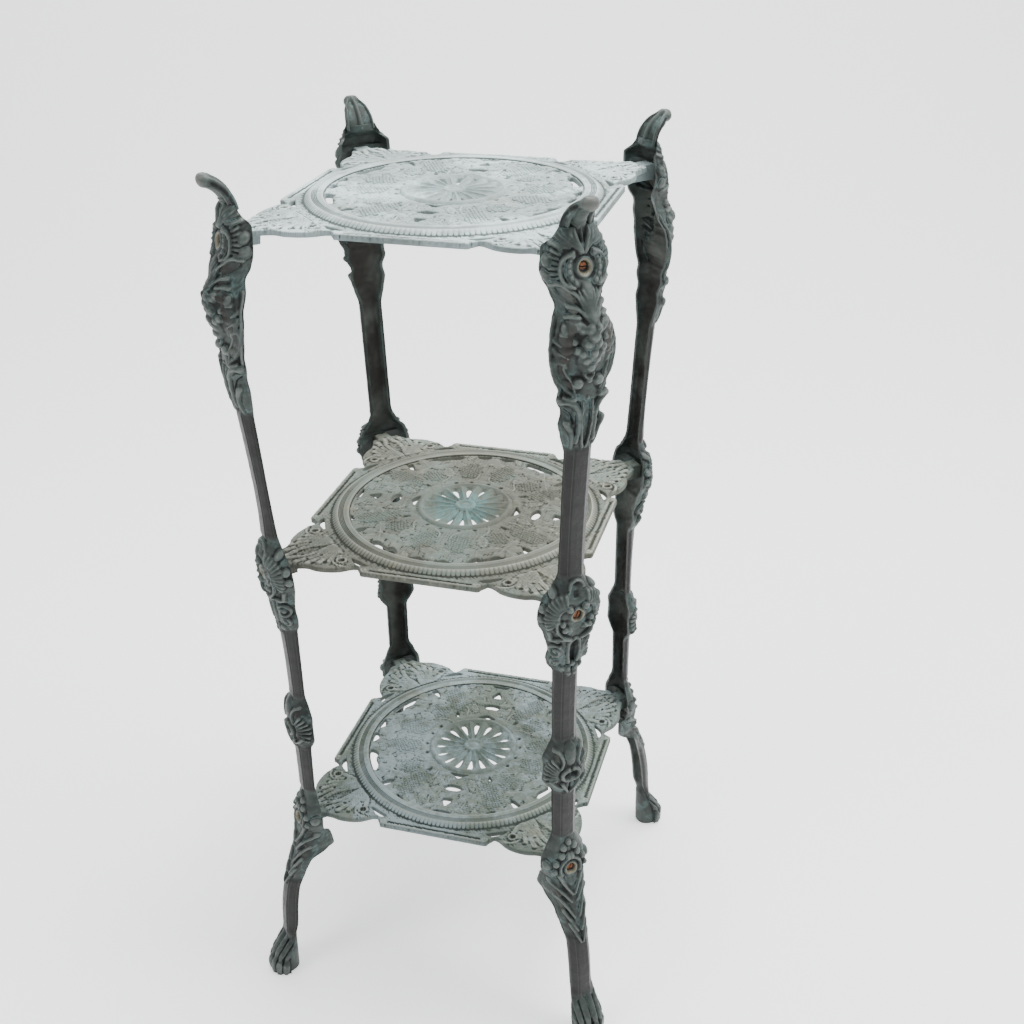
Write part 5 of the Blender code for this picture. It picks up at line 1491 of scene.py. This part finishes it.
def finial():
    """The curled finial as one closed form."""
    root = -FINIAL_ROOT / FINIAL_LENGTH
    steps = np.concatenate([np.linspace(root, 0.82, 46), np.linspace(0.82, 1, 16)[1:]])
    rings, dark, light, lightened = [], [], [], []
    place = np.array((float(leg_shape("face", LEG_TOP) + leg_shape("lips", LEG_TOP)) / 2, LEG_TOP))
    start = math.radians(FINIAL_ANGLES[0])
    place = place + steps[0] * FINIAL_LENGTH * np.array((math.sin(start), math.cos(start)))
    before = steps[0]
    for along in steps:
        angle = math.radians(np.interp(along, (0.0, 1.0), FINIAL_ANGLES))
        direction = np.array((math.sin(angle), math.cos(angle)))
        place = place + (along - before) * FINIAL_LENGTH * direction
        before = along
        across, outer, inner, dark_out, dark_in = finial_section(max(along, 0.0))
        off = np.concatenate([outer, -inner[-2:0:-1]])
        side = np.concatenate([across, across[-2:0:-1]])
        rings.append(np.column_stack([place[0] + direction[1] * off, side, place[1] - direction[0] * off]))
        dark.append(np.concatenate([dark_out, dark_in[-2:0:-1]]))
        # The light share feeds the crest mark: wear with painted highlight on all but the grooves.
        light.append(np.clip(0.55 - dark[-1] * 2, 0, 1))
        lightened.append(np.full(len(side), np.clip((along - 0.86) / 0.10, 0, 1)))
    points = np.vstack(rings)
    points[:, 2] = np.minimum(points[:, 2], CAD_BOX[1][2] - 0.0001)
    faces = [face[::-1] for face in capped_faces(len(rings), len(rings[0]))]
    blank = np.zeros(len(points))
    marks = {"hollow": np.concatenate(dark), "crest": np.concatenate(light), "column": blank, "inside": blank,
             "collar": blank, "tip": np.concatenate(lightened)}
    return points, faces, marks


LEG_TURNS = {"front_left": -135, "front_right": -45, "rear_left": 135, "rear_right": 45}


def leg_pieces(material):
    """Each leg with its finial, turned to its corner."""
    made = []
    for kind, (points, faces, marks) in (("carving", leg_shell()), ("finial", finial())):
        x, y, z = points.T
        for name, turn in LEG_TURNS.items():
            c, s = math.cos(math.radians(turn)), math.sin(math.radians(turn))
            placed = np.column_stack([x * c - y * s, x * s + y * c, z])
            made.append((name, mesh_object("leg_" + name + "_" + kind, placed, faces, marks, material)))
    return made


# Screws

SHANK_RADIUS = 0.0021
HEAD_RADIUS = 0.0037
SLOT_HALF_WIDTH = 0.00062
SLOT_FLOOR = 0.0009
SCREW_PROFILE = ((0.0012, -0.0118), (SHANK_RADIUS, -0.0105), (SHANK_RADIUS, 0.0), (0.0036, 0.0),
                 (HEAD_RADIUS, 0.0002), (HEAD_RADIUS, 0.0011), (0.0035, 0.0014), (0.0028, 0.0017),
                 (0.0015, 0.0020), (0.0002, 0.0021))
HEAD_HEIGHT = SCREW_PROFILE[-1][1]


def screw_form():
    """A slotted screw along +Z, with its head's underside at 0."""
    points, faces = lathe(SCREW_PROFILE, 40)
    body = mesh_object("screw_form", points, faces)
    corners = [(x, y, z) for x in (-0.006, 0.006) for y in (-SLOT_HALF_WIDTH, SLOT_HALF_WIDTH)
               for z in (SLOT_FLOOR, 0.004)]
    box = [(0, 1, 3, 2), (4, 6, 7, 5), (0, 4, 5, 1), (2, 3, 7, 6), (0, 2, 6, 4), (1, 5, 7, 3)]
    cutter = mesh_object("screw_slot_cutter", corners, box, smooth=False)
    cut = body.modifiers.new("slot", "BOOLEAN")
    cut.operation = "DIFFERENCE"
    cut.solver = "EXACT"
    cut.object = cutter
    result = bpy.data.meshes.new_from_object(body.evaluated_get(bpy.context.evaluated_depsgraph_get()))
    body.modifiers.clear()
    body.data = result
    bpy.data.objects.remove(cutter, do_unlink=True)
    return body


def screws(form, material):
    """Twelve screws, each at its own node's place."""
    places, turns = [], []
    random = np.random.default_rng(SEED)
    names = [name for name in sorted(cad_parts) if name.startswith("screw_")]
    for name in names:
        low, high = (Vector(corner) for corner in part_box(name))
        middle = (low + high) / 2
        angle = math.atan2(middle.y, middle.x)
        c, s = math.cos(angle), math.sin(angle)
        reach = max(abs(low.x), abs(high.x)) * math.sqrt(2) - HEAD_RADIUS
        places.append((reach * c - HEAD_HEIGHT * c, reach * s - HEAD_HEIGHT * s, middle.z))
        lying = Matrix.Rotation(angle, 3, "Z") @ Matrix.Rotation(math.pi / 2, 3, "Y")
        turns.append(tuple((lying @ Matrix.Rotation(random.uniform(0, math.pi), 3, "Z")).to_euler()))
    return copies("screws", form, places, turns, np.ones((len(places), 3)), material), names


# The camera that took the picture: place, turn to the left, tilt down, roll and focal length in pixels
CAMERA_PLACE = (0.3720, -1.1150, 1.1332)
CAMERA_YAW = math.radians(-16.17)
CAMERA_PITCH = math.radians(28.32)
CAMERA_ROLL = math.radians(-0.90)
FOCAL_PIXELS = 1328.85
PICTURE_PIXELS = 1024

# Stage
FLOOR_COLOUR = (0.93, 0.93, 0.935, 1.0)
SKY_COLOUR = (0.93, 0.96, 1.0, 1.0)
FLOOR_GLOW = 0.74
SKY_STRENGTH = 0.60
BACKDROP_DISTANCE = 1.2
BACKDROP_BEND = 1.6
BACKDROP_HEIGHT = 7.0
LAMP_TARGET = (0, 0, 0.45)

# Lamps: name, place, size and power
LAMPS = (("front", (-1.3, -1.5, 2.4), 1.2, 34.0), ("side", (1.9, 0.2, 2.2), 1.3, 52.0),
         ("overhead", (0.3, 0.4, 2.8), 1.3, 78.0))


def floor_sheet(material):
    """Pale floor that bends up into a backdrop, square to the camera."""
    profile = [(-6.0, 0.0), (BACKDROP_DISTANCE, 0.0)]
    profile += [(BACKDROP_DISTANCE + BACKDROP_BEND * math.sin(a), BACKDROP_BEND - BACKDROP_BEND * math.cos(a))
                for a in np.linspace(0.1, math.pi / 2, 14)]
    profile.append((BACKDROP_DISTANCE + BACKDROP_BEND, BACKDROP_HEIGHT))
    points = [(side, out, up) for out, up in profile for side in (-7.0, 7.0)]
    faces = [(2 * row, 2 * row + 1, 2 * row + 3, 2 * row + 2) for row in range(len(profile) - 1)]
    turn = np.array(Matrix.Rotation(-CAMERA_YAW, 3, "Z"))
    return mesh_object("floor", np.array(points) @ turn.T, faces, None, material)


def stage():
    """The floor, the sky's light and three soft lamps."""
    shader = Shader("pale_floor")
    shader.finish(FLOOR_COLOUR, 0.9, 0.0, shader.bump(shader.noise(3.0), 0.0, 0.001), 0.1)
    shader.surface.inputs["Emission Color"].default_value = (1.0, 1.0, 1.0, 1.0)
    shader.surface.inputs["Emission Strength"].default_value = FLOOR_GLOW
    floor = floor_sheet(shader.material)
    world = bpy.data.worlds.new("studio")
    world.use_nodes = True
    world.node_tree.nodes["Background"].inputs["Color"].default_value = SKY_COLOUR
    world.node_tree.nodes["Background"].inputs["Strength"].default_value = SKY_STRENGTH
    bpy.context.scene.world = world
    for name, place, size, power in LAMPS:
        lamp = bpy.data.lights.new(name, "AREA")
        lamp.shape = "DISK"
        lamp.size = size
        lamp.energy = power
        item = bpy.data.objects.new(name, lamp)
        item.location = place
        item.rotation_euler = (Vector(LAMP_TARGET) - Vector(place)).to_track_quat("-Z", "Y").to_euler()
        bpy.context.scene.collection.objects.link(item)


def camera():
    level = math.cos(CAMERA_PITCH)
    forward = Vector((math.sin(CAMERA_YAW) * level, math.cos(CAMERA_YAW) * level, -math.sin(CAMERA_PITCH)))
    right = Vector((math.cos(CAMERA_YAW), -math.sin(CAMERA_YAW), 0.0))
    up = right.cross(forward)
    rolled_right = right * math.cos(CAMERA_ROLL) + up * math.sin(CAMERA_ROLL)
    rolled_up = up * math.cos(CAMERA_ROLL) - right * math.sin(CAMERA_ROLL)
    turned_view = Matrix((rolled_right, rolled_up, -forward)).transposed().to_4x4()
    data = bpy.data.cameras.new("camera")
    data.sensor_width = 36.0
    data.lens = data.sensor_width * FOCAL_PIXELS / PICTURE_PIXELS
    data.dof.use_dof = False
    item = bpy.data.objects.new("camera", data)
    item.matrix_world = Matrix.Translation(CAMERA_PLACE) @ turned_view
    bpy.context.scene.collection.objects.link(item)
    bpy.context.scene.camera = item


def shelf_ends(shelf):
    """Where a shelf's panels and bosses end on the diagonal."""
    boss_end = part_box("shelf_" + shelf)[1][0] * math.sqrt(2) - BOSS_WIDTH / 2
    level = SHELF_HEIGHTS[shelf] - PLATE_DROP
    lips = min(float(leg_shape("lips", level - depth)) for depth in (0.0, PLATE_THICKNESS))
    return lips - JOINT_CLEARANCE, boss_end


def shelf_pieces(shelf, spoke, grape):
    """A shelf's field, rim, rosette and grapes."""
    finish = shelf_patina(shelf + "_shelf_patina", **SHELF_FINISHES[shelf])
    panel_end, boss_end = shelf_ends(shelf)
    pieces = [field_piece(shelf, finish), rim_piece(shelf, panel_end, boss_end, finish)]
    pieces += rosette_pieces(shelf, spoke, finish)
    pieces.append(grapes(shelf, grape, finish))
    return pieces


def main():
    camera()
    stage()
    spoke, grape, screw = spoke_form(), grape_form(), screw_form()
    for shelf in SHELF_HEIGHTS:
        for piece in shelf_pieces(shelf, spoke, grape):
            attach(piece, "root")
            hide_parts("shelf_" + shelf)
    for name, piece in leg_pieces(leg_patina()):
        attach(piece, "root")
        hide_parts("leg_" + name)
    piece, names = screws(screw, screw_rust())
    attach(piece, "root")
    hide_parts(*names)
    for helper in (spoke, grape, screw):
        bpy.data.objects.remove(helper, do_unlink=True)


main()
